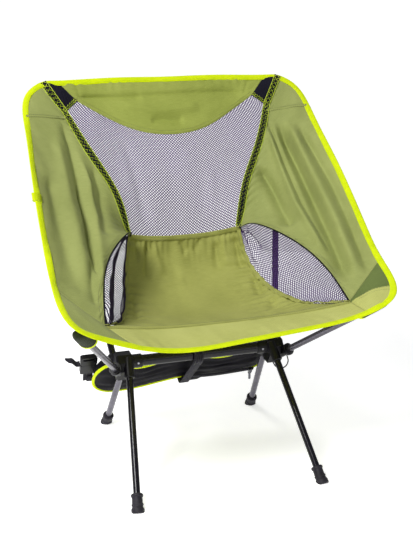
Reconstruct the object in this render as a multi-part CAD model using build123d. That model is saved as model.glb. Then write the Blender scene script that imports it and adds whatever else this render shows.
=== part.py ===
from build123d import *
from math import pi, radians, tan
import os

# A two-hub, four-pole camping chair with a slung fabric seat. Millimetres, +Z up, the sitter faces -Y.
# Everything is first laid out with the crossbar's axis above Y = 0 and the floor at Z = 0. The last step moves
# the whole chair along Y, so that its origin is under the middle of its bounding box.

# ---------------------------------------------------------------- frame: driving dimensions
CROSSBAR_RADIUS = 11.0
CROSSBAR_WALL = 1.5
CROSSBAR_HALF = 137.0
CROSSBAR_HEIGHT = 198.0
POLE_RADIUS = 6.5
POLE_WALL = 1.0
RUNNING_GAP = 0.05
SOCKET_WALL = 2.9
SOCKET_END_GAP = 0.3
CORD_RADIUS = 1.25
SLEEVE_START = 118.0
SLEEVE_END = 150.0
SLEEVE_WALL = 2.6
PIN_RADIUS = 2.0
PIN_INSET = 9.0           # from the sleeve's mouth to the middle of its cross pin
HUB_INNER = 139.0         # where the hub's faceted block starts, on the right-hand side
HUB_WIDTH = 31.0
HUB_BEVEL = 3.0
HUB_OUTLINE = [(-23, 187), (-20, 204), (-8, 216), (13, 216), (24, 203), (25, 184), (13, 165), (-9, 165)]
RING_SET_BACK = 9.0       # the collar starts this far short of its socket's mouth

# The turned shapes, as (radius, distance along the axis) points. A collar's radii count from its bore.
BOOT_PROFILE = [(0, -6), (10.5, -6), (12.0, -4), (12.0, 3), (10.2, 6), (10.2, 9), (11.0, 10), (11.0, 12), (9.8, 13),
                (9.6, 24), (11.2, 25.5), (11.2, 29), (9.4, 30.5), (0, 30.5)]
RING_PROFILE = [(0, 0), (2.0, 0), (3.0, 1.2), (3.0, 5.8), (2.0, 7.0), (0, 7.0)]
SPIGOT_LENGTH = 14.0
CAP_LENGTH = 10.5
CAP_RIM = 0.8             # the end cap stands this far proud of its tube

# Each pole's axis on the right-hand side: the closed inner end of its socket, and the pole's free end.
FRONT_LEG_TOP = Vector(145.5, -8.5, 206.0)
FRONT_LEG_FOOT = Vector(177.8, -209.3, 0.0)
REAR_LEG_TOP = Vector(145.0, 13.0, 204.0)
REAR_LEG_FOOT = Vector(162.0, 150.5, 0.0)
SEAT_POLE_BASE = Vector(164.0, -6.0, 180.5)
SEAT_POLE_TIP = Vector(272.0, -222.0, 352.0)
BACK_POLE_BASE = Vector(162.5, 12.0, 171.0)
BACK_POLE_TIP = Vector(248.0, 263.0, 687.0)

FRONT_SOCKET = 38.0
REAR_SOCKET = 46.0
SEAT_SOCKET = 36.0
BACK_SOCKET = 40.0
LEG_END_LIFT = 12.0       # the leg tube stops this far above the floor, inside its boot
LEG_CORD = 110.0          # how far a leg's or a seat pole's shock cord runs past its socket
FERRULE_SHARE = 0.47      # where along the back pole its two segments meet
FERRULE_HALF = 30.0
FERRULE_WALL = 1.0
SEGMENT_GAP = 0.2         # clear space between the back pole's two segments
BACK_CORD = 400.0         # the back pole's shock cord runs on through the ferrule

# A short loop of shock cord that hangs out under the right-hand hub.
LOOP_ROUTE = [(173.6, -25.4, 184.0), (175.4, -29.0, 178.0), (174.6, -30.5, 170.0), (170.5, -29.0, 161.5),
              (163.5, -25.0, 157.0), (157.0, -18.0, 156.5), (153.5, -10.5, 159.0), (152.0, -6.0, 164.6)]

# ---------------------------------------------------------------- seat: seams of the sling, right-hand side
# Each seam is a curve through its points. Names: top and bottom, inner and outer corner of the black patch.
PATCH_TOP_INNER = (221.0, 262.0, 704.0)
PATCH_TOP_OUTER = (248.0, 258.0, 703.0)
PATCH_BOTTOM_INNER = (186.2, 241.4, 668.2)
PATCH_BOTTOM_OUTER = (213.4, 227.4, 647.5)
TOP_CORNER = (283.0, 241.0, 683.0)
MESH_FOOT = (116.0, 108.0, 420.0)
LENS_FRONT = (224.2, -191.7, 349.0)
POCKET_REAR = (303.0, -171.0, 402.0)
FRONT_CORNER = (287.0, -242.0, 374.0)
POCKET_INNER = (236.0, -250.0, 346.0)

TOP_EDGE = [(110.0, 268.0, 706.0), (0.0, 270.0, 705.0), (-110.0, 268.0, 706.0)]
MESH_ARC = [(128.0, 228.0, 634.0), (69.0, 207.0, 609.0), (0.0, 198.0, 600.0)]
WING_SEAM = [(177.0, 170.0, 579.0), (142.0, 136.0, 517.0), (125.0, 118.0, 470.0)]
MESH_BASE = [(64.0, 129.0, 406.0), (0.0, 132.0, 403.0)]
LENS_UPPER = [(120.0, 69.0, 435.0), (166.0, -4.0, 430.0), (207.0, -102.0, 397.0)]
LENS_LOWER = [(125.0, 92.0, 367.0), (140.0, 33.0, 327.0), (176.0, -89.0, 318.0)]
HEM_SEAM = [(120.0, -168.0, 329.0), (0.0, -160.0, 323.0)]
FRONT_EDGE = [(120.0, -242.0, 316.0), (0.0, -239.0, 309.0)]
SIDE_EDGE = [(297.0, 169.0, 628.0), (302.0, 51.0, 549.0), (304.0, -70.0, 462.0)]

FABRIC = 1.0
TAPE = 1.4
BINDING = 2.4
BINDING_WIDTH = 8.0
TAPE_WIDTH = 9.0
LENS_END = 0.03           # share of the side mesh's long edges left off at its two pointed ends
SEAM_GAP = 2.0            # clear space left between two pieces of the sling
LENS_WIDTH = 90.0         # widest part of the side mesh, which sets its margins
FACETS = 7                # each piece is faceted this many times each way

# ---------------------------------------------------------------- storage bag, hung from the crossbar
BAG_LENGTH = 368.0
BAG_HEIGHT = 96.0
BAG_THICK = 34.0
BAG_END_RADIUS = 42.0
BAG_EDGE_RADIUS = 10.0
BAG_MIDDLE = (-12.0, 135.0)   # X and Z of the middle of its front face
BAG_ROLL = 1.6                # degrees that its right-hand end stands higher
BAG_CLEARANCE = 1.6           # between the rear sockets and the bag that leans on the rear legs
PIPING = 3.0
STRAP_WIDTH = 19.0
STRAP_THICK = 1.6
STRAP_X = -6.0
WEB_WIDTH = 20.0
BUCKLE_WIDTH = 34.0
BUCKLE_THICK = 10.0
BUCKLE_HALF = 30.0            # length of each half of the buckle
BUCKLE_WALL = 2.0
BUCKLE_BEYOND = 7.0           # how far its middle stands past the bag's end
PRONG_WIDTH = 5.0
WEB_LENGTH = 90.0
TAIL_LENGTH = 28.0
TAIL_WIDTH = 9.0
ZIP_X = 137.0
SLIDER_WIDTH = 8.0
SLIDER_LENGTH = 11.0
SLIDER_GAP = 0.4              # clear space between the slider and the bag
SLIDER_THICK = 3.6
PULL_LENGTH = 15.0
PULL_WIDTH = 5.0
PULL_THICK = 1.4
PULL_DROP = 2.4               # from the slider's lower end down to the pin its pull hangs on
PULL_PIN = 0.7
PULL_EYE = 1.7
LUG_THICK = 1.1

parts = {}


def mirrored(point):
    """The same point on the left-hand side."""
    return Vector(-point.X, point.Y, point.Z)


def side(point, sign):
    return point if sign > 0 else mirrored(point)


def rod(start, end, radius):
    """A solid round bar between two points."""
    axis = end - start
    return Solid.make_cylinder(radius, axis.length, Plane(origin=start, z_dir=axis.normalized()))


def tube(start, end, radius, wall):
    return rod(start, end, radius) - rod(start, end, radius - wall)


def arc_radii(route):
    """For each corner of a cord's route, the largest arc that its two runs allow."""
    radii = []
    for before, corner, after in zip(route, route[1:], route[2:]):
        first, second = Vector(*corner) - Vector(*before), Vector(*after) - Vector(*corner)
        turn = first.get_angle(second)
        radii.append(0.45 * min(first.length, second.length) / tan(radians(turn / 2)))
    print("cord loop radii", [round(radius, 1) for radius in radii])
    return radii


def turned(profile, start, direction):
    """A body of revolution: profile is (radius, distance along the axis) points, from start along direction."""
    plane = Plane(origin=start, z_dir=direction)
    outline = Polyline(*[(radius, 0, distance) for radius, distance in profile], close=True)
    solid = revolve(make_face(outline), Axis.Z)
    return plane.location * solid


# ---------------------------------------------------------------- poles, sockets and hubs
POLES = {
    "front_leg": (FRONT_LEG_TOP, FRONT_LEG_FOOT, FRONT_SOCKET),
    "rear_leg": (REAR_LEG_TOP, REAR_LEG_FOOT, REAR_SOCKET),
    "seat_pole": (SEAT_POLE_BASE, SEAT_POLE_TIP, SEAT_SOCKET),
    "back_pole": (BACK_POLE_BASE, BACK_POLE_TIP, BACK_SOCKET),
}


def hub(sign):
    """The moulded hub: a crossbar sleeve, a faceted block and four blind sockets."""
    sleeve = rod(Vector(sign * SLEEVE_START, 0, CROSSBAR_HEIGHT), Vector(sign * SLEEVE_END, 0, CROSSBAR_HEIGHT),
                 CROSSBAR_RADIUS + SLEEVE_WALL)
    sleeve = chamfer(sleeve.edges().group_by(Axis.X)[0 if sign > 0 else -1], 0.8)
    outline = Polyline(*[(HUB_INNER, y, z) for y, z in HUB_OUTLINE], close=True)
    block = extrude(make_face(outline), HUB_WIDTH, dir=(1, 0, 0))
    block = chamfer(block.edges().group_by(Axis.X)[-1], HUB_BEVEL)
    if sign < 0:
        block = mirror(block, Plane.YZ)
    body = block + sleeve
    bores = []
    for base, tip, depth in POLES.values():
        base, tip = side(base, sign), side(tip, sign)
        axis = (tip - base).normalized()
        outer = POLE_RADIUS + SOCKET_WALL
        cap = turned([(0, -4.5), (outer - 3, -4.5), (outer, -1.5), (outer, depth - 1), (outer - 1, depth), (0, depth)],
                     base, axis)
        body = body + cap
        bores.append(rod(base, tip, POLE_RADIUS + RUNNING_GAP))
    bores.append(rod(Vector(0, 0, CROSSBAR_HEIGHT), Vector(sign * CROSSBAR_HALF, 0, CROSSBAR_HEIGHT),
                     CROSSBAR_RADIUS + RUNNING_GAP))
    bores.append(hub_pin(sign, RUNNING_GAP))
    for bore in bores:
        body = body - bore
    return body


def hub_pin(sign, gap=0.0):
    """The cross pin that holds the crossbar in the hub's sleeve."""
    reach = CROSSBAR_RADIUS + SLEEVE_WALL + gap
    x = sign * (SLEEVE_START + PIN_INSET)
    return rod(Vector(x, -reach, CROSSBAR_HEIGHT), Vector(x, reach, CROSSBAR_HEIGHT), PIN_RADIUS + gap)


def socket_ring(base, tip, depth):
    """The collar pressed round a socket's mouth."""
    axis = (tip - base).normalized()
    inner = POLE_RADIUS + SOCKET_WALL
    start = base + axis * (depth - RING_SET_BACK)
    return turned([(inner + wall, distance) for wall, distance in RING_PROFILE], start, axis)


def boot(top, foot):
    """A ribbed rubber boot, cut flat where it stands on the floor."""
    axis = (top - foot).normalized()
    body = turned(BOOT_PROFILE, foot, axis) - rod(foot + axis * LEG_END_LIFT, top, POLE_RADIUS)
    below_floor = Pos(foot.X, foot.Y, -20) * Box(80, 80, 40)
    return body - below_floor


def cap(base, tip):
    """A rounded plastic end on a pole, with a spigot inside the tube."""
    axis = (tip - base).normalized()
    bore = POLE_RADIUS - POLE_WALL
    rim = POLE_RADIUS + CAP_RIM
    spigot = [(0, -SPIGOT_LENGTH), (bore - 0.4, -SPIGOT_LENGTH), (bore, 1 - SPIGOT_LENGTH), (bore, 0)]
    dome = [(rim, 0), (rim, 5), (POLE_RADIUS - 0.6, CAP_LENGTH - 2), (POLE_RADIUS / 2, CAP_LENGTH), (0, CAP_LENGTH)]
    return turned(spigot + dome, tip, axis)


for side_name, sign in (("right", 1), ("left", -1)):
    parts[f"hub_{side_name}"] = hub(sign)
    rings = []
    cords = []
    for pole_name, (base, tip, depth) in POLES.items():
        base, tip = side(base, sign), side(tip, sign)
        axis = (tip - base).normalized()
        start = base + axis * SOCKET_END_GAP
        if pole_name.endswith("leg"):
            end = tip - axis * LEG_END_LIFT
            parts[f"{pole_name}_{side_name}"] = tube(start, end, POLE_RADIUS, POLE_WALL)
            parts[f"{pole_name}_boot_{side_name}"] = boot(base, tip)
        elif pole_name == "seat_pole":
            parts[f"seat_pole_{side_name}"] = tube(start, tip, POLE_RADIUS, POLE_WALL)
            parts[f"seat_pole_cap_{side_name}"] = cap(base, tip)
            rings.append(socket_ring(base, tip, depth))
        else:
            joint = base + (tip - base) * FERRULE_SHARE
            parts[f"back_pole_lower_{side_name}"] = tube(start, joint, POLE_RADIUS, POLE_WALL)
            parts[f"back_pole_upper_{side_name}"] = tube(joint + axis * SEGMENT_GAP, tip, POLE_RADIUS, POLE_WALL)
            parts[f"back_pole_ferrule_{side_name}"] = tube(
                joint - axis * FERRULE_HALF, joint + axis * FERRULE_HALF, POLE_RADIUS - POLE_WALL - RUNNING_GAP, FERRULE_WALL)
            parts[f"back_pole_cap_{side_name}"] = cap(base, tip)
            rings.append(socket_ring(base, tip, depth))
        reach = BACK_CORD if pole_name == "back_pole" else depth + LEG_CORD
        cords.append(rod(base, base + axis * reach, CORD_RADIUS))
    for ring in rings:
        parts[f"hub_{side_name}"] = parts[f"hub_{side_name}"] - ring
    parts[f"socket_rings_{side_name}"] = Compound(rings)
    parts[f"shock_cords_{side_name}"] = Compound(cords)

bar_start = Vector(-CROSSBAR_HALF, 0, CROSSBAR_HEIGHT)
bar_end = Vector(CROSSBAR_HALF, 0, CROSSBAR_HEIGHT)
pin_holes = hub_pin(1, RUNNING_GAP) + hub_pin(-1, RUNNING_GAP)
parts["crossbar"] = tube(bar_start, bar_end, CROSSBAR_RADIUS, CROSSBAR_WALL) - pin_holes
parts["hub_pins"] = Compound([hub_pin(1), hub_pin(-1)])

loop_path = FilletPolyline(*LOOP_ROUTE, radius=arc_radii(LOOP_ROUTE))
loop_end = Plane(origin=loop_path @ 0, z_dir=loop_path % 0)
parts["cord_loop"] = sweep(loop_end * Circle(CORD_RADIUS), path=loop_path)
print("cord loop length", round(loop_path.length, 1), "volume over section times length",
      round(parts["cord_loop"].volume / (loop_path.length * pi * CORD_RADIUS**2), 3))


# ---------------------------------------------------------------- the sling's pieces
class Cloth:
    """A four-sided curved surface spanned by its edges, which its pieces are cut from."""

    def __init__(self, top, bottom, left, right):
        self.top, self.bottom, self.left, self.right = top, bottom, left, right
        self.width = (self.top.length + self.bottom.length) / 2
        self.height = (self.left.length + self.right.length) / 2

    def point(self, u, v):
        across = (self.top @ u) * (1 - v) + (self.bottom @ u) * v
        down = (self.left @ v) * (1 - u) + (self.right @ v) * u
        corners = ((self.top @ 0) * (1 - u) + (self.top @ 1) * u) * (1 - v)
        corners += ((self.bottom @ 0) * (1 - u) + (self.bottom @ 1) * u) * v
        return across + down - corners

    def normal(self, u, v):
        step = 0.01
        du = self.point(min(u + step, 1), v) - self.point(max(u - step, 0), v)
        dv = self.point(u, min(v + step, 1)) - self.point(u, max(v - step, 0))
        return du.cross(dv).normalized()

    def piece(self, thickness, left=0.0, right=0.0, top=0.0, bottom=0.0, across=None, down=None):
        """A thin solid: the surface less a margin in millimetres on each side.

        across or down, where given, is a strip's width in millimetres, kept from the right or the bottom edge,
        or from the left or the top edge where it is negative.
        """
        u0, u1 = (left + SEAM_GAP / 2) / self.width, 1 - (right + SEAM_GAP / 2) / self.width
        v0, v1 = (top + SEAM_GAP / 2) / self.height, 1 - (bottom + SEAM_GAP / 2) / self.height
        if across is not None:
            share = abs(across) / self.width
            u0, u1 = (u1 - share, u1) if across > 0 else (u0, u0 + share)
        if down is not None:
            share = abs(down) / self.height
            v0, v1 = (v1 - share, v1) if down > 0 else (v0, v0 + share)
        steps = [i / (FACETS - 1) for i in range(FACETS)]
        front, back = [], []
        for v in [v0 + (v1 - v0) * step for step in steps]:
            for u in [u0 + (u1 - u0) * step for step in steps]:
                place, offset = self.point(u, v), self.normal(u, v) * (thickness / 2)
                front.append(place + offset)
                back.append(place - offset)
        return faceted_sheet(front, back)


def faceted_sheet(front, back):
    """A closed thin solid between two grids of FACETS by FACETS points."""
    faces = []

    def quad(a, b, c, d):
        for corners in ((a, b, c), (a, c, d)):
            faces.append(Face(Wire.make_polygon(corners, close=True)))

    last = FACETS - 1
    for row in range(last):
        for column in range(last):
            k = row * FACETS + column
            corners = (k, k + 1, k + FACETS + 1, k + FACETS)
            quad(*[front[i] for i in corners])
            quad(*[back[i] for i in corners])
    for i in range(last):
        for k, step in ((i, 1), (last * FACETS + i, 1), (i * FACETS, FACETS), (i * FACETS + last, FACETS)):
            quad(front[k], front[k + step], back[k + step], back[k])
    return Solid(Shell(faces))


def flipped(points):
    return [(-x, y, z) for x, y, z in points]


def both_sides(half):
    """A curve from the right-hand side to the left, from its right-hand half that ends on the middle line."""
    return half + flipped(half[-2::-1])


def curve(points):
    return Spline(*points) if len(points) > 2 else Line(*points)


def shaped(points, sign):
    return points if sign > 0 else flipped(points)


wing_line = [PATCH_BOTTOM_OUTER] + WING_SEAM + [MESH_FOOT] + LENS_UPPER + [LENS_FRONT]
seat_line = [MESH_FOOT] + LENS_LOWER + [LENS_FRONT]
mesh_share = curve(wing_line).param_at_point(Vector(*MESH_FOOT))


def wing_part(sign, start, end):
    """A stretch of the long seam from the black patch past the mesh's foot to the front pocket."""
    return curve(shaped(wing_line, sign)).trim(start, end)


top_panel = Cloth(curve([PATCH_TOP_INNER] + TOP_EDGE + flipped([PATCH_TOP_INNER])),
                  curve(both_sides([PATCH_BOTTOM_INNER] + MESH_ARC)),
                  curve([PATCH_TOP_INNER, PATCH_BOTTOM_INNER]), curve(flipped([PATCH_TOP_INNER, PATCH_BOTTOM_INNER])))
back_mesh = Cloth(curve(both_sides([PATCH_BOTTOM_OUTER, PATCH_BOTTOM_INNER] + MESH_ARC)),
                  curve(both_sides([MESH_FOOT] + MESH_BASE)),
                  wing_part(1, 0, mesh_share), wing_part(-1, 0, mesh_share))
seat_panel = Cloth(curve(both_sides([MESH_FOOT] + MESH_BASE)), curve(both_sides([LENS_FRONT] + HEM_SEAM)),
                   curve(seat_line), curve(flipped(seat_line)))
front_flap = Cloth(curve(both_sides([LENS_FRONT] + HEM_SEAM)), curve(both_sides([POCKET_INNER] + FRONT_EDGE)),
                   curve([LENS_FRONT, POCKET_INNER]), curve(flipped([LENS_FRONT, POCKET_INNER])))

parts["top_panel"] = top_panel.piece(FABRIC, top=BINDING_WIDTH)
parts["back_mesh"] = back_mesh.piece(FABRIC, left=2, right=2, top=4)
parts["seat_panel"] = seat_panel.piece(FABRIC)
parts["front_flap"] = front_flap.piece(FABRIC, bottom=BINDING_WIDTH)
strip = BINDING_WIDTH - SEAM_GAP
binding = [top_panel.piece(BINDING, down=-strip), front_flap.piece(BINDING, down=strip)]

for side_name, sign in (("right", 1), ("left", -1)):
    patch = Cloth(*[curve(shaped(line, sign)) for line in (
        [PATCH_TOP_INNER, PATCH_TOP_OUTER], [PATCH_BOTTOM_INNER, PATCH_BOTTOM_OUTER],
        [PATCH_TOP_INNER, PATCH_BOTTOM_INNER], [PATCH_TOP_OUTER, PATCH_BOTTOM_OUTER])])
    wing = Cloth(curve(shaped([PATCH_TOP_OUTER, TOP_CORNER], sign)), curve(shaped([LENS_FRONT, POCKET_REAR], sign)),
                 curve(shaped([PATCH_TOP_OUTER] + wing_line, sign)),
                 curve(shaped([TOP_CORNER] + SIDE_EDGE + [POCKET_REAR], sign)))
    # The side mesh is a pointed oval between two long seams that meet at both of its ends.
    upper = wing_part(sign, mesh_share + LENS_END, 1 - LENS_END)
    lower = curve(shaped(seat_line, sign)).trim(LENS_END, 1 - LENS_END)
    lens = Cloth(Line(upper @ 0, lower @ 0), Line(upper @ 1, lower @ 1), upper, lower)
    lens.width, lens.height = LENS_WIDTH, lens.width + lens.height
    pocket = Cloth(*[curve(shaped(line, sign)) for line in (
        [LENS_FRONT, POCKET_REAR], [POCKET_INNER, FRONT_CORNER],
        [LENS_FRONT, POCKET_INNER], [POCKET_REAR, FRONT_CORNER])])
    parts[f"top_patch_{side_name}"] = patch.piece(FABRIC, top=BINDING_WIDTH)
    parts[f"wing_{side_name}"] = wing.piece(FABRIC, left=TAPE_WIDTH, right=BINDING_WIDTH, top=BINDING_WIDTH)
    parts[f"seam_tape_{side_name}"] = wing.piece(TAPE, across=-(TAPE_WIDTH - SEAM_GAP), top=BINDING_WIDTH)
    parts[f"side_mesh_{side_name}"] = lens.piece(FABRIC, left=3, right=1)
    parts[f"front_pocket_{side_name}"] = pocket.piece(FABRIC, right=BINDING_WIDTH, bottom=BINDING_WIDTH)
    binding += [patch.piece(BINDING, down=-strip), wing.piece(BINDING, down=-strip),
                wing.piece(BINDING, across=strip, top=BINDING_WIDTH), pocket.piece(BINDING, down=strip),
                pocket.piece(BINDING, across=strip, bottom=BINDING_WIDTH)]
parts["edge_binding"] = Compound(binding)


# ---------------------------------------------------------------- the bag and what is on it
# The bag leans on the rear legs. On its plane X runs along it, Y up it and Z out of its front face. Depths are
# counted from that face towards its back.
rear_run = REAR_LEG_FOOT - REAR_LEG_TOP
bag_up = Vector(0, -rear_run.Y, -rear_run.Z).normalized()
bag_back = Vector(0, bag_up.Z, -bag_up.Y)
leg_share = (REAR_LEG_TOP.Z - BAG_MIDDLE[1]) / -rear_run.Z
leg_y = REAR_LEG_TOP.Y + rear_run.Y * leg_share
stand_off = POLE_RADIUS + SOCKET_WALL + BAG_CLEARANCE
bag_plane = Plane(origin=(BAG_MIDDLE[0], leg_y + stand_off / bag_back.Y, BAG_MIDDLE[1]),
                  x_dir=(1, 0, 0), z_dir=-bag_back)
bag_place = bag_plane.location * Rot(0, 0, BAG_ROLL)


def plate(width, height, radius, low, high, x=0.0, y=0.0):
    """A rounded plate on the bag's plane, from depth low to depth high."""
    outline = RectangleRounded(width, height, radius)
    return bag_place * Pos(x, y, -high) * extrude(outline, high - low)


bag = extrude(RectangleRounded(BAG_LENGTH, BAG_HEIGHT, BAG_END_RADIUS), -BAG_THICK)
rims = bag.edges().group_by(Axis.Z)
parts["storage_bag"] = bag_place * fillet(rims[0] + rims[-1], BAG_EDGE_RADIUS)
grow = 2 * PIPING + 0.6
parts["bag_piping"] = (plate(BAG_LENGTH + grow, BAG_HEIGHT + grow, BAG_END_RADIUS + grow / 2, 12, 12 + PIPING)
                       - plate(BAG_LENGTH + 0.6, BAG_HEIGHT + 0.6, BAG_END_RADIUS + 0.3, 11, 13 + PIPING))


def strap_outline(extra):
    """The belt round the crossbar and the bag, seen along X, this much outside them."""
    rings = [Pos(0, CROSSBAR_HEIGHT) * Circle(CROSSBAR_RADIUS + extra)]
    for height in (BAG_EDGE_RADIUS - BAG_HEIGHT / 2, BAG_HEIGHT / 2 - BAG_EDGE_RADIUS):
        for depth in (BAG_EDGE_RADIUS, BAG_THICK - BAG_EDGE_RADIUS):
            middle = bag_plane.origin + bag_up * height + bag_back * depth
            rings.append(Pos(middle.Y, middle.Z) * Circle(BAG_EDGE_RADIUS + extra))
    return make_hull([edge for ring in rings for edge in ring.edges()])


belt = strap_outline(0.8 + PIPING + STRAP_THICK) - strap_outline(0.8 + PIPING)
parts["bag_strap"] = Plane.YZ.offset(STRAP_X - STRAP_WIDTH / 2).location * extrude(belt, STRAP_WIDTH)

# The side-release buckle stands behind the bag's left-hand end, on webbing sewn to the bag's back.
buckle_x = -BAG_LENGTH / 2 - BUCKLE_BEYOND
web_depth = BAG_THICK + 0.6
buckle_depth = web_depth + STRAP_THICK + 0.4
web_low = -BUCKLE_HALF - 14
web = plate(WEB_LENGTH, WEB_WIDTH, 1, web_depth, web_depth + STRAP_THICK,
            x=buckle_x + (WEB_LENGTH - WEB_WIDTH) / 2, y=web_low)
web = web + plate(WEB_WIDTH, WEB_WIDTH + 2, 1, web_depth, web_depth + STRAP_THICK, x=buckle_x, y=web_low + 12)
parts["bag_web"] = web
shell = plate(BUCKLE_WIDTH, BUCKLE_HALF, 5, buckle_depth, buckle_depth + BUCKLE_THICK, x=buckle_x,
              y=-BUCKLE_HALF / 2 + 4)
cavity = plate(BUCKLE_WIDTH - 5, BUCKLE_HALF, 1, buckle_depth + BUCKLE_WALL,
               buckle_depth + BUCKLE_THICK - BUCKLE_WALL, x=buckle_x, y=-BUCKLE_HALF / 2 + 8)
parts["buckle_socket"] = shell - cavity
clip = plate(BUCKLE_WIDTH, BUCKLE_HALF - 4, 5, buckle_depth, buckle_depth + BUCKLE_THICK, x=buckle_x,
             y=BUCKLE_HALF / 2 + 2.5)
clip = clip - plate(BUCKLE_WIDTH - 10, 6, 1, buckle_depth - 1, buckle_depth + BUCKLE_THICK + 1, x=buckle_x,
                    y=BUCKLE_HALF / 2 + 8)
for x in (-1, 0, 1):
    reach = 26 if x else 18
    clip = clip + plate(PRONG_WIDTH, reach, 1, buckle_depth + BUCKLE_WALL + 0.5,
                        buckle_depth + BUCKLE_THICK - BUCKLE_WALL - 0.5,
                        x=buckle_x + x * (BUCKLE_WIDTH / 2 - 5.5), y=8 - reach / 2)
parts["buckle_clip"] = clip
tail = bag_place * Pos(buckle_x - BUCKLE_WIDTH / 2 - 2.5, 12, -buckle_depth - BUCKLE_THICK / 2) * Rot(0, 0, 160)
parts["strap_tail"] = tail * Pos(TAIL_LENGTH / 2, 0, 0) * Box(TAIL_LENGTH, TAIL_WIDTH, STRAP_THICK)

# The zip's slider has two lugs at its lower end, with a pin between them. The pull's eye hangs on that pin.
slider_y = -BAG_HEIGHT / 2 + BAG_EDGE_RADIUS + 3
zip_offset = ZIP_X - BAG_MIDDLE[0]
slider_top = -SLIDER_GAP - SLIDER_THICK
slider = plate(SLIDER_WIDTH, SLIDER_LENGTH, 2, slider_top, -SLIDER_GAP, x=zip_offset, y=slider_y)
pin_y = slider_y - SLIDER_LENGTH / 2 - PULL_DROP
pin_depth = -SLIDER_GAP - SLIDER_THICK / 2
lug_x = PULL_WIDTH / 2 + 0.3 + LUG_THICK / 2
for x in (-lug_x, lug_x):
    slider = slider + plate(LUG_THICK, PULL_DROP + 4, 0.5, slider_top + 0.4, -SLIDER_GAP - 0.4, x=zip_offset + x,
                            y=pin_y + (PULL_DROP + 2) / 2)
pull_top = (bag_place * Pos(zip_offset, pin_y, -pin_depth)).position
across = (bag_place * Pos(zip_offset + 1, pin_y, -pin_depth)).position - pull_top
pin_reach = across * (lug_x + LUG_THICK / 2)
parts["zip_slider"] = slider + rod(pull_top - pin_reach, pull_top + pin_reach, PULL_PIN)
eye_reach = across * (PULL_WIDTH / 2)
eye = rod(pull_top - eye_reach, pull_top + eye_reach, PULL_EYE)
blade = Plane(origin=pull_top, x_dir=across).location * Pos(0, 0, -PULL_LENGTH / 2)
pull = blade * Box(PULL_WIDTH, PULL_THICK, PULL_LENGTH)
pull = chamfer(pull.edges().group_by(Axis.Z)[0].filter_by(lambda edge: abs(edge.tangent_at(0).Y) > 0.9), 1.2)
parts["zip_pull"] = eye + pull - rod(pull_top - 2 * eye_reach, pull_top + 2 * eye_reach, PULL_PIN + RUNNING_GAP)

# ---------------------------------------------------------------- origin under the middle, then one file each
lows = [shape.bounding_box().min for shape in parts.values()]
highs = [shape.bounding_box().max for shape in parts.values()]
middle_y = (min(low.Y for low in lows) + max(high.Y for high in highs)) / 2
print("middle_y", round(middle_y, 4), "zip pull pin", pull_top - Vector(0, middle_y, 0), "along", across)
parts = {name: Pos(0, -middle_y, 0) * shape for name, shape in parts.items()}

os.makedirs("parts", exist_ok=True)
for name, shape in parts.items():
    export_step(shape, f"parts/{name}.step")
    box = shape.bounding_box()
    print(name, round(shape.volume), [round(v, 1) for v in box.min], [round(v, 1) for v in box.max])
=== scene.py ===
import math

import bpy
import numpy as np
from mathutils import Matrix, Vector, noise
from mathutils.bvhtree import BVHTree
from mathutils.geometry import barycentric_transform


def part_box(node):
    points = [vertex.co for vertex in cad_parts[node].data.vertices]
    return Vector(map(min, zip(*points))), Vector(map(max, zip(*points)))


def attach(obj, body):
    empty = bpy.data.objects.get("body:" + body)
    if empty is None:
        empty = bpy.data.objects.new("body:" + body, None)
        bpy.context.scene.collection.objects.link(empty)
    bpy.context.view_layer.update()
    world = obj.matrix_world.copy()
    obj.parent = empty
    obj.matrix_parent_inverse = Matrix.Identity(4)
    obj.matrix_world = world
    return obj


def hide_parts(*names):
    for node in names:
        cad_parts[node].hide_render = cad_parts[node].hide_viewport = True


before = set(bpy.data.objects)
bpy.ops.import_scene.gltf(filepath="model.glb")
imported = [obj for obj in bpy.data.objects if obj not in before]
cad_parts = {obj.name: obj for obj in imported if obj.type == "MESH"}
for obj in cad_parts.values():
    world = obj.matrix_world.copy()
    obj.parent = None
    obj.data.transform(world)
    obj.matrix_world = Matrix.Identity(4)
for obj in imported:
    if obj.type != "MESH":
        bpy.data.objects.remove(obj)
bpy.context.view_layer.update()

# A two-hub camping chair: a slung fabric seat on four poles, and a storage bag under its crossbar. The
# frame's CAD nodes keep their shapes and get materials. Every soft piece is built here, from the same seam
# points as the CAD.
# Lengths are in metres. Design points are written in millimetres, measured from the floor below the crossbar.
MM = 0.001
bar_low, bar_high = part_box("crossbar")
HUB_Y = (bar_low.y + bar_high.y) / 2
BAR_HEIGHT = (bar_low.z + bar_high.z) / 2
BAR_RADIUS = (bar_high.z - bar_low.z) / 2
SITTER = np.array([0.0, HUB_Y - 0.02, 0.62])      # a point in front of every panel of the seat

# ---------------------------------------------------------------- seams of the sling, right-hand side
PATCH_TOP_INNER = (221.0, 262.0, 704.0)
PATCH_TOP_OUTER = (248.0, 258.0, 703.0)
PATCH_BOTTOM_INNER = (186.2, 241.4, 668.2)
PATCH_BOTTOM_OUTER = (213.4, 227.4, 647.5)
TOP_CORNER = (283.0, 241.0, 683.0)
MESH_FOOT = (116.0, 108.0, 420.0)
LENS_FRONT = (224.2, -191.7, 349.0)
POCKET_REAR = (303.5, -150.0, 413.0)
FRONT_CORNER = (287.0, -242.0, 374.0)
POCKET_INNER = (236.0, -250.0, 346.0)
POCKET_INNER_LEFT = (177.0, -245.0, 326.0)        # the left pocket reaches further along the front edge
TOP_EDGE = [(110.0, 268.0, 706.0), (0.0, 270.0, 705.0)]
MESH_ARC = [(128.0, 228.0, 634.0), (69.0, 207.0, 609.0), (0.0, 198.0, 600.0)]
WING_SEAM = [(177.0, 170.0, 579.0), (142.0, 136.0, 517.0), (125.0, 118.0, 470.0)]
MESH_BASE = [(64.0, 129.0, 406.0), (0.0, 132.0, 403.0)]
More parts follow.
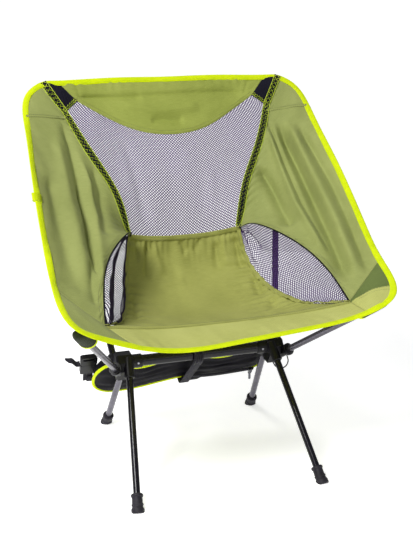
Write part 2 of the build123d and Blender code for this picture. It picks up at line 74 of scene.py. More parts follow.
LENS_UPPER = [(120.0, 69.0, 435.0), (166.0, -4.0, 430.0), (207.0, -102.0, 397.0)]
LENS_LOWER = [(125.0, 92.0, 367.0), (140.0, 33.0, 327.0), (176.0, -89.0, 318.0)]
HEM_SEAM = [(120.0, -168.0, 329.0), (0.0, -160.0, 323.0)]
FRONT_EDGE = [(120.0, -241.0, 323.0), (0.0, -239.0, 312.0)]
FRONT_EDGE_LEFT = [(120.0, -243.0, 311.0)]        # the front edge hangs lower on this side
SIDE_EDGE = [(297.0, 169.0, 628.0), (302.0, 51.0, 549.0), (304.0, -70.0, 462.0)]
SEAT_POLE = ((164.0, -6.0, 180.5), (272.0, -222.0, 352.0))
BACK_POLE = ((162.5, 12.0, 171.0), (248.0, 263.0, 687.0))
LOOP_ROUTE = [(173.6, -25.4, 184.0), (175.4, -29.0, 178.0), (174.6, -30.5, 170.0), (170.5, -29.0, 161.5),
              (163.5, -25.0, 157.0), (157.0, -18.0, 156.5), (153.5, -10.5, 159.0), (152.0, -6.0, 164.6)]
LOOP_DIAMETER = 0.0025

FABRIC = 0.0007
PATCH_THICK = 0.0009
TAPE_THICK = 0.0011
TAPE_WIDTH = 0.0072        # on each side of its seam
BINDING_WIDTH = 0.0105
FINE_THREAD = 0.00028      # a thread's radius
FELLED_THREAD = 0.00045
LADDER_THREAD = 0.00068
BAR_THREAD = 0.00060
NET_PITCH = 0.0059
NET_THREAD = 0.0005
NET_HOLE = 0.64            # a hole's share of its diamond's width and height
SIDES = {"right": 1, "left": -1}


# ---------------------------------------------------------------- curves and grids of points
def placed(points, sign=1):
    """Design points as an array in the frame. A sign of -1 gives the left-hand side."""
    return np.array([(sign * x, y, z) for x, y, z in points]) * MM + (0, HUB_Y, 0)


def place(point, sign=1):
    return placed([point], sign)[0]


def unit(vectors):
    return vectors / np.maximum(np.linalg.norm(vectors, axis=-1, keepdims=True), 1e-12)


def square_to(vectors, others):
    """The vectors turned square to others, as unit vectors."""
    return unit(vectors - (vectors * others).sum(1, keepdims=True) * others)


def noisy(x, y, z):
    return noise.noise(Vector((x, y, z)))


def eased(x):
    x = np.clip(x, 0, 1)
    return x * x * (3 - 2 * x)


def smooth(points, closed=False, step=0.003):
    """A finely divided cubic spline through the points."""
    knots = np.vstack([points, points[:1]]) if closed else np.asarray(points, float)
    if len(knots) == 2:
        return even(knots, 20)
    chords = np.linalg.norm(np.diff(knots, axis=0), axis=1)
    gaps = chords ** 0.6
    last = len(gaps)
    matrix, target = np.zeros((last + 1, last + 1)), np.zeros((last + 1, 3))
    slopes = np.diff(knots, axis=0) / gaps[:, None]
    for i in range(0 if closed else 1, last):
        matrix[i, (i - 1) % last] += gaps[i - 1]
        matrix[i, i] += 2 * (gaps[i - 1] + gaps[i])
        matrix[i, i + 1 if not closed else (i + 1) % last] += gaps[i]
        target[i] = 6 * (slopes[i] - slopes[i - 1])
    if closed:
        matrix[last, last], matrix[last, 0] = 1, -1
    else:
        matrix[0, 0] = matrix[last, last] = 1
    bends = np.linalg.solve(matrix, target)
    line = []
    for i, gap in enumerate(gaps):
        count = max(2, math.ceil(chords[i] / step))
        t = np.arange(count)[:, None] / count * gap
        a, b = bends[i], bends[i + 1]
        rise = slopes[i] - gap / 6 * (2 * a + b)
        line.append(knots[i] + t * rise + t**2 * a / 2 + t**3 * (b - a) / (6 * gap))
    line.append(knots[-1:])
    return np.vstack(line)


def lengths(line):
    return np.concatenate([[0], np.cumsum(np.linalg.norm(np.diff(line, axis=0), axis=1))])


def sampled(values, along, at):
    """Vectors given at the lengths along a line, read off at other lengths."""
    return np.stack([np.interp(at, along, values[:, k]) for k in range(3)], axis=-1)


def even(line, count):
    """The line again, as count evenly spaced points."""
    along = lengths(line)
    return sampled(line, along, np.linspace(0, along[-1], count))


def nearest(line, point):
    """The index of the line's point that is nearest to another point."""
    return int(np.argmin(np.linalg.norm(line - point, axis=1)))


def stretch(line, start, end, closed=False):
    """The part of a line between the points of it nearest to start and end."""
    first, last = nearest(line, start), nearest(line, end)
    if not closed:
        return line[first:last + 1] if first <= last else line[last:first + 1][::-1]
    ring = line[:-1]
    ahead = (last - first) % len(ring)
    behind = (first - last) % len(ring)
    step = 1 if ahead <= behind else -1
    return ring[(first + step * np.arange(min(ahead, behind) + 1)) % len(ring)]


def ring_tangents(ring):
    return unit(np.roll(ring, -1, axis=0) - np.roll(ring, 1, axis=0))


def ring_outward(ring, across):
    """Unit vectors square to a ring and to the vectors across it, away from its middle."""
    outward = unit(np.cross(ring_tangents(ring), across))
    return outward * np.sign(((ring - ring.mean(0)) * outward).sum(1).mean())


def coons(top, bottom, left, right, columns, rows):
    """A grid of points spanned by four edges: row 0 is the top, column 0 the left."""
    top, bottom, left, right = even(top, columns), even(bottom, columns), even(left, rows), even(right, rows)
    u = np.linspace(0, 1, columns)[None, :, None]
    v = np.linspace(0, 1, rows)[:, None, None]
    across = top[None] * (1 - v) + bottom[None] * v
    down = left[:, None] * (1 - u) + right[:, None] * u
    corners = (top[0] * (1 - u) + top[-1] * u) * (1 - v) + (bottom[0] * (1 - u) + bottom[-1] * u) * v
    return across + down - corners


def relaxed(grid, rounds):
    """The grid drawn tight between its edges, as fabric under tension is."""
    grid = grid.copy()
    for _ in range(rounds):
        grid[1:-1, 1:-1] = (grid[:-2, 1:-1] + grid[2:, 1:-1] + grid[1:-1, :-2] + grid[1:-1, 2:]) / 4
    return grid


def facing(grid):
    """Each grid point's unit normal on the sitter's side."""
    down, across = np.gradient(grid, axis=0), np.gradient(grid, axis=1)
    normal = unit(np.cross(across, down))
    return normal if ((SITTER - grid) * normal).sum() > 0 else -normal


def pushed(grid, height):
    """The grid moved along its normals by a height at each point."""
    return grid + facing(grid) * height[..., None]


def flattened(grid):
    """Each grid point's place on the flat cloth, measured from the middle row and column."""
    rows, columns = grid.shape[:2]
    across, down = np.zeros((rows, columns)), np.zeros((rows, columns))
    across[:, 1:] = np.cumsum(np.linalg.norm(np.diff(grid, axis=1), axis=2), axis=1)
    down[1:] = np.cumsum(np.linalg.norm(np.diff(grid, axis=0), axis=2), axis=0)
    return np.stack([across - across[:, [columns // 2]], down - down[[rows // 2], :]], axis=2)


def shares(grid):
    """Arrays of each point's share across and down the grid."""
    rows, columns = grid.shape[:2]
    return np.meshgrid(np.linspace(0, 1, columns), np.linspace(0, 1, rows))


def spans(grid):
    """The lengths of the grid's middle row and middle column."""
    return lengths(grid[grid.shape[0] // 2])[-1], lengths(grid[:, grid.shape[1] // 2])[-1]


def seam_distances(grid):
    """Each point's distance from the left, right, top and bottom seams."""
    (across, down), (width, height) = shares(grid), spans(grid)
    return {"l": across * width, "r": (1 - across) * width, "t": down * height, "b": (1 - down) * height}


# ---------------------------------------------------------------- the relief of slack and gathered cloth
def edge_hold(grid, reach, sides="lrtb"):
    """0 on the seams named and 1 further in than reach, so that folds die out at a seam."""
    hold = np.ones(grid.shape[:2])
    for side, distance in seam_distances(grid).items():
        if side in sides:
            hold = hold * eased(distance / reach)
    return hold


def dome(grid):
    """1 in the middle of the grid, and 0 along its edges."""
    across, down = shares(grid)
    return np.sin(math.pi * across) * np.sin(math.pi * down)


def folds(grid, table):
    """Long soft folds: two (share across, share down) ends, half the width and the height in millimetres."""
    size = np.array(spans(grid))
    flat = np.stack(shares(grid), axis=2) * size
    relief = np.zeros(grid.shape[:2])
    for start, end, width, height in table:
        a, b = np.array(start) * size, np.array(end) * size
        along = ((flat - a) @ (b - a)) / ((b - a) @ (b - a))
        off = np.linalg.norm(flat - a - np.clip(along, 0, 1)[..., None] * (b - a), axis=2)
        spread = width * MM * (0.6 + 0.6 * np.clip(along, 0, 1))
        ends = eased((along + 0.02) / 0.25) * eased((1.02 - along) / 0.25)
        relief += height * MM * ends * np.exp(-(off / spread) ** 2)
    return relief


def crease(grid, points, width, depth, sharp):
    """A crease along a route that lies on the surface. It dies out at its two ends."""
    along = lengths(points)
    normal = facing(grid)
    closest = np.full(grid.shape[:2], 1e9)
    at = np.zeros(grid.shape[:2])
    for k in range(len(points) - 1):
        run = points[k + 1] - points[k]
        share = np.clip((grid - points[k]) @ run / (run @ run), 0, 1)
        away = grid - (points[k] + share[..., None] * run)
        away -= (away * normal).sum(2, keepdims=True) * normal
        distance = np.linalg.norm(away, axis=2)
        closer = distance < closest
        closest[closer] = distance[closer]
        at[closer] = (along[k] + share * (along[k + 1] - along[k]))[closer] / along[-1]
    ends = eased((at + 0.03) / 0.15) * eased((1.03 - at) / 0.15)
    return depth * ends * np.exp(-(closest / (width * (0.75 + 0.5 * at))) ** sharp)


def creases(grid, table, sign=1):
    """Creases: each one's design points, half its width and its height in mm, and how sharp it is."""
    return sum(crease(grid, placed(points, sign), width * MM, height * MM, sharp)
               for points, width, height, sharp in table)


def drape(grid, across_scale, down_scale, height, seed):
    """Soft uneven relief, stretched along or across the cloth by the two scales, in metres."""
    return height * np.array([[noisy(x / across_scale, y / down_scale, seed) for x, y in row]
                              for row in flattened(grid)])


def puckers(grid, side, pitch, reach, height, seed):
    """Small gathers square to one seam, deepest a little way in from it."""
    run = flattened(grid)[..., 1 if side in "lr" else 0]
    depth = seam_distances(grid)[side] / reach
    wander = np.array([[noisy(x / (4 * pitch), seed, 0.5) for x in row] for row in run])
    strength = np.array([[0.55 + noisy(x / (2.2 * pitch), seed + 7, 0.5) for x in row] for row in run])
    wave = np.sin(run / pitch * 2 * math.pi + 5 * wander)
    return height * wave * np.clip(strength, 0, 1.2) * depth * np.exp(1 - depth)


# ---------------------------------------------------------------- meshes
def mesh_object(name, vertices, faces, material, uvs=None, sharp=False):
    data = bpy.data.meshes.new(name)
    data.from_pydata([tuple(v) for v in vertices], [], faces)
    data.validate()
    if uvs is not None:
        layer = data.uv_layers.new(name="flat")
        corner = np.zeros(len(data.loops), np.int32)
        data.loops.foreach_get("vertex_index", corner)
        layer.data.foreach_set("uv", np.asarray(uvs, np.float32)[corner].ravel())
    for one in material if isinstance(material, list) else [material]:
        data.materials.append(one)
    data.polygons.foreach_set("use_smooth", [not sharp] * len(data.polygons))
    piece = bpy.data.objects.new(name, data)
    bpy.context.scene.collection.objects.link(piece)
    return piece


def put(piece, slot, body, *nodes):
    """Attaches the piece to the body it moves with and hides the CAD nodes that it stands for. The slot, what
    the piece is made of, is not used.
    """
    if nodes:
        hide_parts(*nodes)
    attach(piece, body)
    return piece


def grid_faces(rows, columns, wrap=False, start=0):
    faces = []
    for row in range(rows - 1):
        for column in range(columns if wrap else columns - 1):
            after = (column + 1) % columns
            faces.append((start + row * columns + column, start + row * columns + after,
                          start + (row + 1) * columns + after, start + (row + 1) * columns + column))
    return faces


def cloth_piece(name, grid, material, thickness=FABRIC):
    """A grid of points as a piece of fabric with a real thickness."""
    rows, columns = grid.shape[:2]
    piece = mesh_object(name, grid.reshape(-1, 3), grid_faces(rows, columns), material,
                        flattened(grid).reshape(-1, 2))
    solid = piece.modifiers.new("thickness", "SOLIDIFY")
    solid.thickness = thickness
    solid.offset = 0
    return piece


def swept(name, line, sideways, normals, profile, material, closed=False, bulge=None):
    """A closed profile of (sideways, normal) points carried along a line. bulge scales it at each point."""
    count = len(profile)
    scale = np.ones(len(line)) if bulge is None else bulge
    along = lengths(line)
    around = lengths(np.array([(a, b, 0) for a, b in profile]))
    vertices, uvs = [], []
    for i, point in enumerate(line):
        for k, (a, b) in enumerate(profile):
            vertices.append(point + scale[i] * (a * sideways[i] + b * normals[i]))
            uvs.append((along[i], around[k]))
    faces = grid_faces(len(line), count, wrap=True)
    if closed:
        last = (len(line) - 1) * count
        faces += [(last + k, last + (k + 1) % count, (k + 1) % count, k) for k in range(count)]
    else:
        faces.append(tuple(range(count)))
        faces.append(tuple(range(len(vertices) - 1, len(vertices) - count - 1, -1)))
    return mesh_object(name, vertices, faces, material, uvs)


def flat_profile(left, right, thickness):
    """A tape's section: flat, with rounded edges."""
    half = thickness / 2
    inset = thickness * 0.3
    return [(left, -half * 0.4), (left + inset, -half), (right - inset, -half), (right, -half * 0.4),
            (right, half * 0.4), (right - inset, half), (left + inset, half), (left, half * 0.4)]


def sewn(name, runs, radius, thread, slot="seat_fabric", body="sling", sides=5):
    """Round threads along lists of points, each tapering into the cloth at its ends."""
    vertices, faces = [], []
    turn = np.arange(sides)[:, None] / sides * 2 * math.pi
    for run in runs:
        run = np.asarray(run, float)
        tangents = unit(np.gradient(run, axis=0))
        guide = np.where(np.abs(tangents[:, [2]]) < 0.9, (0.0, 0.0, 1.0), (1.0, 0.0, 0.0))
        first = unit(np.cross(tangents, guide))
        second = np.cross(tangents, first)
        start = len(vertices)
        for i, point in enumerate(run):
            size = radius * (0.45 if i in (0, len(run) - 1) else 1.0)
            vertices.extend(point + size * (np.cos(turn) * first[i] + np.sin(turn) * second[i]))
        faces += grid_faces(len(run), sides, wrap=True, start=start)
        faces.append(tuple(range(start + sides - 1, start - 1, -1)))
        faces.append(tuple(range(len(vertices) - sides, len(vertices))))
    return put(mesh_object(name, vertices, faces, thread), slot, body)


def stitch_runs(line, normals, lift, length=0.0030, gap=0.0013):
    """A row of sewn stitches on a line: each rises from the cloth, lies on it and goes back in."""
    along = lengths(line)
    sink = 0.0005
    height = np.array([-sink, 0.7 * lift, lift, 0.7 * lift, -sink])
    runs = []
    start = gap
    while start + length < along[-1]:
        at = start + length * np.array([0.0, 0.16, 0.5, 0.84, 1.0])
        runs.append(sampled(line, along, at) + sampled(normals, along, at) * height[:, None])
        start += length + gap
    return runs


def zigzag(line, sideways, normals, low, high, pitch, lift, phase):
    """A thread that runs to and fro across a tape, between two distances from its line."""
    along = lengths(line)
    step = np.arange(2 * int(along[-1] / (pitch / 2)))
    at = (step / 2 + phase) * pitch / 2
    step, at = step[at <= along[-1]], at[at <= along[-1]]
    across = low + (high - low) * np.array([0.0, 0.5, 1.0, 0.5])[step % 4]
    height = np.where(step % 2, lift, lift * 0.2)
    return (sampled(line, along, at) + sampled(sideways, along, at) * across[:, None]
            + sampled(normals, along, at) * height[:, None])


# ---------------------------------------------------------------- materials
WAVE_UNIT = 2 * math.pi / 20      # a wave texture's scale for one band per unit length


def srgb(colour):
    """A colour as seen on a screen, 0 to 255, as the linear colour that a shader takes."""
    return tuple((c / 255 / 12.92 if c / 255 <= 0.04045 else ((c / 255 + 0.055) / 1.055) ** 2.4)
                 for c in colour) + (1.0,)


class Finish:
    """A node material: a Principled shader, with helpers for what drives its colour, roughness and bump."""

    def __init__(self, name, **plain):
        self.material = bpy.data.materials.new(name)
        self.material.use_nodes = True
        self.tree = self.material.node_tree
        self.shader = self.tree.nodes["Principled BSDF"]
        for socket, value in plain.items():
            self.shader.inputs[socket.replace("_", " ")].default_value = value
        self.bumps = []

    def node(self, kind, inputs=None, **settings):
        made = self.tree.nodes.new(kind)
        for key, value in settings.items():
            setattr(made, key, value)
        for key, value in (inputs or {}).items():
            if isinstance(value, bpy.types.NodeSocket):
                self.tree.links.new(value, made.inputs[key])
            else:
                made.inputs[key].default_value = value
        return made

    def flat_place(self):
        """The cloth's own flat coordinates, in metres."""
        return self.node("ShaderNodeUVMap", uv_map="flat").outputs["UV"]

    def object_place(self):
        return self.node("ShaderNodeTexCoord").outputs["Object"]

    def noise(self, place, scale, detail, roughness=0.55):
        return self.node("ShaderNodeTexNoise", {"Vector": place, "Scale": scale, "Detail": detail,
                                                "Roughness": roughness}).outputs["Fac"]

    def wave(self, place, scale, direction="X", distortion=0.0):
        made = self.node("ShaderNodeTexWave", {"Vector": place, "Scale": scale, "Distortion": distortion},
                         wave_type="BANDS", bands_direction=direction, wave_profile="SIN")
        return made.outputs["Fac"]

    def scaled(self, place, x, y, z=1.0, turn=0.0):
        made = self.node("ShaderNodeMapping", {"Vector": place, "Scale": (x, y, z), "Rotation": (0, 0, turn)})
        return made.outputs["Vector"]

    def times(self, a, b):
        return self.node("ShaderNodeMath", {0: a, 1: b}, operation="MULTIPLY").outputs[0]

    def mixed(self, value, share, base):
        """base plus a share of value."""
        return self.node("ShaderNodeMath", {0: value, 1: share, 2: base}, operation="MULTIPLY_ADD").outputs[0]

    def drive(self, socket, value):
        self.tree.links.new(value, self.shader.inputs[socket])

    def colour(self, value, *stops):
        """Drives the colour by a value, through a ramp of (position, colour) stops."""
        made = self.node("ShaderNodeValToRGB", {"Fac": value})
        elements = made.color_ramp.elements
        while len(elements) < len(stops):
            elements.new(0.5)
        for element, (position, shade) in zip(elements, stops):
            element.position = position
            element.color = shade
        self.drive("Base Color", made.outputs["Color"])

    def roughness(self, value, low, high):
        made = self.node("ShaderNodeMapRange", {"Value": value, "To Min": low, "To Max": high})
        self.drive("Roughness", made.outputs["Result"])

    def bump(self, height, distance, strength):
        inputs = {"Height": height, "Distance": distance, "Strength": strength}
        if self.bumps:
            inputs["Normal"] = self.bumps[-1]
        self.bumps.append(self.node("ShaderNodeBump", inputs).outputs["Normal"])
        self.drive("Normal", self.bumps[-1])


def woven(name, light, middle, dark, roughness=0.72, sheen=0.06, diagonal=0.0, shine=0.25):
    """Plain-woven polyester: crossing threads, a cloudy change of shade, and a soft sheen."""
    finish = Finish(name, Roughness=roughness, Sheen_Weight=sheen, Sheen_Roughness=0.45,
                    Specular_IOR_Level=shine)
    flat = finish.flat_place()
    cloudy = finish.noise(finish.scaled(flat, 14, 9), 1.0, 5.0)
    streaky = finish.noise(finish.scaled(flat, 60, 1400), 1.0, 3.0)
    threads_per_metre = 1500.0
    warp = finish.wave(flat, threads_per_metre * WAVE_UNIT, "X")
    weft = finish.wave(flat, threads_per_metre * WAVE_UNIT, "Y")
    weave = finish.times(warp, weft)
    slubs = finish.mixed(streaky, 0.45, finish.times(cloudy, 0.35))
    shade = finish.mixed(weave, 0.30, slubs)
    finish.colour(shade, (0.30, srgb(dark)), (0.48, srgb(middle)), (0.70, srgb(light)))
    finish.roughness(streaky, roughness - 0.10, roughness + 0.10)
    finish.bump(weave, 0.0002, 0.5)
    if diagonal:
        ribs = finish.wave(finish.scaled(flat, 1, 1, 1, 0.78), diagonal, "X")
        finish.bump(ribs, 0.0005, 0.9)
    finish.bump(cloudy, 0.0012, 0.35)
    return finish.material


def tube_finish(name, dark, light, metallic=0.0):
    """Anodised aluminium tube: glossy, with fine lines drawn along it and a few handling marks."""
    finish = Finish(name, Metallic=metallic, Roughness=0.26, Specular_IOR_Level=0.3, Coat_Weight=0.1,
                    Coat_Roughness=0.1)
    position = finish.object_place()
    drawn = finish.noise(finish.scaled(position, 220, 220, 26), 1.0, 3.0)
    marks = finish.noise(position, 55.0, 6.0, 0.7)
    middle = (dark + light) / 2
    finish.colour(marks, (0.30, srgb((dark, dark - 2, dark + 6))),
                  (0.62, srgb((middle, middle - 3, middle + 8))),
                  (0.80, srgb((light, light - 4, light + 11))))
    finish.roughness(drawn, 0.14, 0.34)
    finish.bump(drawn, 0.00012, 0.4)
    return finish.material


def moulded_finish(name, dark, light, roughness, grain=900.0, distance=0.00018):
    """Moulded plastic or rubber: a fine grain, slightly worn and dusty in places."""
    finish = Finish(name, Specular_IOR_Level=0.28)
    position = finish.object_place()
    fine = finish.noise(position, grain, 2.0)
    broad = finish.noise(position, 38.0, 5.0, 0.65)
    finish.colour(broad, (0.32, srgb(dark)), (0.72, srgb(light)))
    finish.roughness(broad, roughness - 0.12, roughness + 0.14)
    finish.bump(fine, distance, 0.5)
    finish.bump(broad, 0.0004, 0.2)
    return finish.material


def metal_finish(name, dark, light, roughness):
    """Bare metal, brushed along the object's height."""
    finish = Finish(name, Metallic=1.0)
    brushed = finish.noise(finish.scaled(finish.object_place(), 1400, 1400, 60), 1.0, 3.0)
    finish.colour(brushed, (0.30, srgb(dark)), (0.72, srgb(light)))
    finish.roughness(brushed, roughness - 0.08, roughness + 0.12)
    finish.bump(brushed, 0.0001, 0.4)
    return finish.material


def braided_finish(name, base, fleck):
    """The woven jacket of elastic cord: two crossing sets of fine strands."""
    finish = Finish(name, Roughness=0.7, Sheen_Weight=0.2)
    position = finish.object_place()
    one = finish.wave(finish.scaled(position, 1, 1, 1), 260.0, "DIAGONAL")
    two = finish.wave(finish.scaled(position, -1, 1, 1), 260.0, "DIAGONAL")
    braid = finish.times(one, two)
    finish.colour(braid, (0.25, srgb(base)), (0.8, srgb(fleck)))
    finish.bump(braid, 0.0004, 0.8)
    return finish.material


def thread_finish(name, base, light):
    """Sewing thread: a slight twist and a satin shine."""
    finish = Finish(name, Roughness=0.5, Sheen_Weight=0.3)
    twist = finish.wave(finish.object_place(), 500.0, "DIAGONAL", 1.5)
    finish.colour(twist, (0.2, srgb(base)), (0.8, srgb(light)))
    finish.bump(twist, 0.0001, 0.6)
    return finish.material


def webbing_finish(name, dark, light, ribs):
    """Flat woven webbing or binding tape: ribs across it, with a herringbone of fine threads."""
    finish = Finish(name, Roughness=0.75, Sheen_Weight=0.05, Sheen_Roughness=0.4, Specular_IOR_Level=0.18)
    flat = finish.flat_place()
    rows = finish.times(finish.wave(flat, ribs, "X"), finish.wave(flat, ribs * 0.9, "Y"))
    worn = finish.noise(finish.scaled(flat, 60, 60), 1.0, 4.0)
    finish.colour(finish.mixed(rows, 0.35, worn), (0.35, srgb(dark)), (0.95, srgb(light)))
    finish.roughness(worn, 0.65, 0.85)
    finish.bump(rows, 0.0003, 0.7)
    return finish.material


OLIVE = woven("olive_fabric", (180, 190, 96), (162, 172, 79), (136, 147, 61))
# Painted light: the seat's copy of the olive fabric is drawn brighter than the olive fabric, to lift the
# shade that falls in the seat's bowl. The seat, its hems and the ruffles use it.
OLIVE_SEAT_PAINTED_LIGHT = woven("olive_fabric_seat_painted_light", (192, 194, 110), (174, 177, 94), (148, 151, 74))
OLIVE_WING = woven("olive_fabric_wing", (181, 188, 116), (163, 171, 99), (138, 147, 79))
# Painted light: the flap's copy of the olive fabric is drawn brighter, for the light on and through the front
# flap. The right pocket's cover uses it too.
OLIVE_FLAP_PAINTED_LIGHT = woven("olive_fabric_flap_painted_light", (212, 214, 130), (196, 199, 113), (172, 176, 92))
OLIVE_DARK = woven("olive_backing", (126, 141, 76), (106, 122, 62), (84, 99, 47))
POCKET_CLOTH = woven("pocket_fabric", (58, 66, 40), (42, 49, 29), (27, 32, 18), shine=0.1)
RIPSTOP = woven("black_ripstop", (42, 40, 58), (25, 24, 37), (14, 13, 21), sheen=0.04, diagonal=110.0,
                shine=0.1)
BAG_CLOTH = woven("bag_fabric", (24, 22, 31), (14, 12, 19), (7, 6, 11), roughness=0.55, sheen=0.0, shine=0.10)
MATT = {"roughness": 0.6, "sheen": 0.0, "shine": 0.1}
NET = woven("net_thread", (98, 70, 138), (78, 52, 112), (54, 34, 82), **MATT)
NET_DARK = woven("side_net_thread", (64, 48, 92), (46, 34, 70), (30, 22, 48), **MATT)
NEON = webbing_finish("neon_binding", (216, 240, 0), (240, 255, 12), 330.0)
NEON_THREAD = thread_finish("neon_thread", (190, 216, 20), (232, 250, 50))
OLIVE_THREAD = thread_finish("olive_thread", (78, 84, 38), (128, 134, 70))
BLACK_THREAD = thread_finish("black_thread", (12, 12, 16), (40, 38, 48))
BLACK_TAPE = webbing_finish("black_tape", (10, 10, 14), (32, 30, 40), 380.0)
WEBBING = webbing_finish("grey_webbing", (22, 21, 27), (58, 55, 66), 260.0)
TUBE = tube_finish("anodised_tube", 10, 22)
# Painted reflection: the rear legs and seat poles are the same black anodised tube, drawn as a lighter
# metallic grey for the reflections on them.
TUBE_PAINTED_REFLECTION = tube_finish("tube_painted_reflection", 84, 132, metallic=0.75)
HUB = moulded_finish("hub_plastic", (7, 6, 11), (20, 18, 26), 0.36)
RUBBER = moulded_finish("boot_rubber", (24, 22, 29), (52, 49, 58), 0.55, 500.0, 0.0003)
BUCKLE = moulded_finish("buckle_plastic", (7, 6, 10), (18, 17, 23), 0.34)
STEEL = metal_finish("pin_steel", (120, 120, 124), (176, 176, 182), 0.3)
ALUMINIUM = metal_finish("bare_aluminium", (150, 152, 156), (204, 206, 210), 0.32)
ZIP_METAL = metal_finish("zip_metal", (70, 70, 76), (130, 130, 138), 0.3)
CORD_JACKET = braided_finish("shock_cord", (10, 10, 13), (44, 42, 50))

# ---------------------------------------------------------------- the sling's lines
half_rim = [TOP_EDGE[1], TOP_EDGE[0], PATCH_TOP_INNER, PATCH_TOP_OUTER, TOP_CORNER] + SIDE_EDGE
half_rim += [POCKET_REAR, FRONT_CORNER, POCKET_INNER]
RIM = smooth(np.vstack([placed(half_rim + FRONT_EDGE), placed(FRONT_EDGE_LEFT + half_rim[:0:-1], -1)]),
             closed=True)


def across_seam(half):
    """A seam from the right-hand side to the left, from its right-hand half."""
    return smooth(np.vstack([placed(half), placed(half[-2::-1], -1)]))


def rim_part(start, end, sign=1, end_sign=None):
    return stretch(RIM, place(start, sign), place(end, sign if end_sign is None else end_sign), closed=True)


arc_seam = across_seam([PATCH_BOTTOM_INNER] + MESH_ARC)
net_top = np.vstack([even(placed([PATCH_BOTTOM_OUTER, PATCH_BOTTOM_INNER]), 12)[:-1], arc_seam,
                     even(placed([PATCH_BOTTOM_INNER, PATCH_BOTTOM_OUTER], -1), 12)[1:]])
base_seam = across_seam([MESH_FOOT] + MESH_BASE)
hem_seam = across_seam([LENS_FRONT] + HEM_SEAM)
rim_points, rim_inwards, rim_normals = [], [], []


def side_seams(sign):
    """The long seam of one wing, and the seam under the side mesh, cut where the panels meet."""
    half = [PATCH_BOTTOM_OUTER] + WING_SEAM + [MESH_FOOT] + LENS_UPPER + [LENS_FRONT]
    long_seam = smooth(placed(half, sign))
    return {"long": long_seam,
            "back": stretch(long_seam, place(PATCH_BOTTOM_OUTER, sign), place(MESH_FOOT, sign)),
            "upper": stretch(long_seam, place(MESH_FOOT, sign), place(LENS_FRONT, sign)),
            "lower": smooth(placed([MESH_FOOT] + LENS_LOWER + [LENS_FRONT], sign)),
            "patch": even(placed([PATCH_TOP_OUTER, PATCH_BOTTOM_OUTER], sign), 30)}


def pocket_seam(sign):
    """The short seam from the tip of a side net to the front edge, where a pocket meets the flap."""
    corner = place(POCKET_INNER if sign > 0 else POCKET_INNER_LEFT, sign)
    return np.array([place(LENS_FRONT, sign), RIM[nearest(RIM, corner)]])


def edge_of(grid, edge):
    """One edge of a panel, the row of points a little way in from it, and its normals."""
    normal = facing(grid)
    return {"t": (grid[0], grid[2], normal[1]), "b": (grid[-1], grid[-3], normal[-2]),
            "l": (grid[:, 0], grid[:, 2], normal[:, 1]),
            "r": (grid[:, -1], grid[:, -3], normal[:, -2])}[edge]


def note_rim(grid, edge):
    """Keeps where one edge of a panel lies, with its inward direction and normal, for the binding."""
    line, inner, up = edge_of(grid, edge)
    rim_points.append(line)
    rim_inwards.append(unit(inner - line))
    rim_normals.append(up)


def build_panel(name, node, plain, relief, hold, material, rims=""):
    """A panel of the sling, as piece and grid: its plain grid with relief that dies out at the seams."""
    grid = pushed(plain, relief * edge_hold(plain, hold))
    for edge in rims:
        note_rim(grid, edge)
    piece = put(cloth_piece(name, grid, material), "seat_fabric", "sling", node)
    return piece, grid


# ---------------------------------------------------------------- top panel, seat panel and front flap
TOP_CREASES = [
    ([(-179, 247, 675), (-110, 246, 673), (-48, 246, 671)], 4.6, -8.0, 1.3),
    ([(-60, 246, 672), (40, 248, 676), (128, 248, 676), (168, 247, 672)], 5.2, -7.0, 1.3),
    ([(-90, 238, 655), (-30, 227, 642), (68, 230, 648)], 9.0, 4.4, 1.8),
    ([(-40, 217, 626), (30, 214, 624)], 7.5, -6.0, 1.6),
    ([(183, 262, 700), (176, 254, 684), (169, 246, 670)], 2.2, -1.8, 1.1),
    ([(-183, 262, 700), (-180, 254, 686), (-177, 246, 670)], 2.2, -1.8, 1.1)]
SEAT_FOLDS = [((0.80, 0.02), (0.78, 0.24), 10, -8.5), ((0.73, 0.03), (0.68, 0.22), 10, 5.0),
              ((0.90, 0.02), (0.88, 0.14), 8, -5.0), ((0.52, 0.02), (0.46, 0.10), 9, -5.0),
              ((0.34, 0.02), (0.40, 0.10), 8, -4.4), ((0.22, 0.05), (0.24, 0.22), 11, -6.6),
              ((0.14, 0.02), (0.16, 0.20), 9, 5.0), ((0.06, 0.02), (0.08, 0.24), 8, -8.5),
              ((0.71, 0.27), (0.50, 0.25), 10, 3.4), ((0.93, 0.34), (0.90, 0.68), 8, -5.0),
              ((0.03, 0.28), (0.10, 0.48), 9, -8.0), ((0.06, 0.52), (0.16, 0.70), 10, -7.0),
              ((0.88, 0.74), (0.70, 0.86), 9, 3.0), ((0.20, 0.74), (0.34, 0.88), 10, -3.0)]


def build_top_panel():
    end = [PATCH_TOP_INNER, PATCH_BOTTOM_INNER]
    plain = relaxed(coons(rim_part(PATCH_TOP_INNER, PATCH_TOP_INNER, 1, -1), arc_seam, placed(end),
                          placed(end, -1), 130, 34), 60)
    relief = creases(plain, TOP_CREASES)
    relief += drape(plain, 0.09, 0.022, 0.0022, 3.1)
    relief += puckers(plain, "t", 0.021, 0.012, 0.0007, 1.7)
    return build_panel("top_panel_cloth", "top_panel", plain, relief, 0.014, OLIVE, "t")[1]


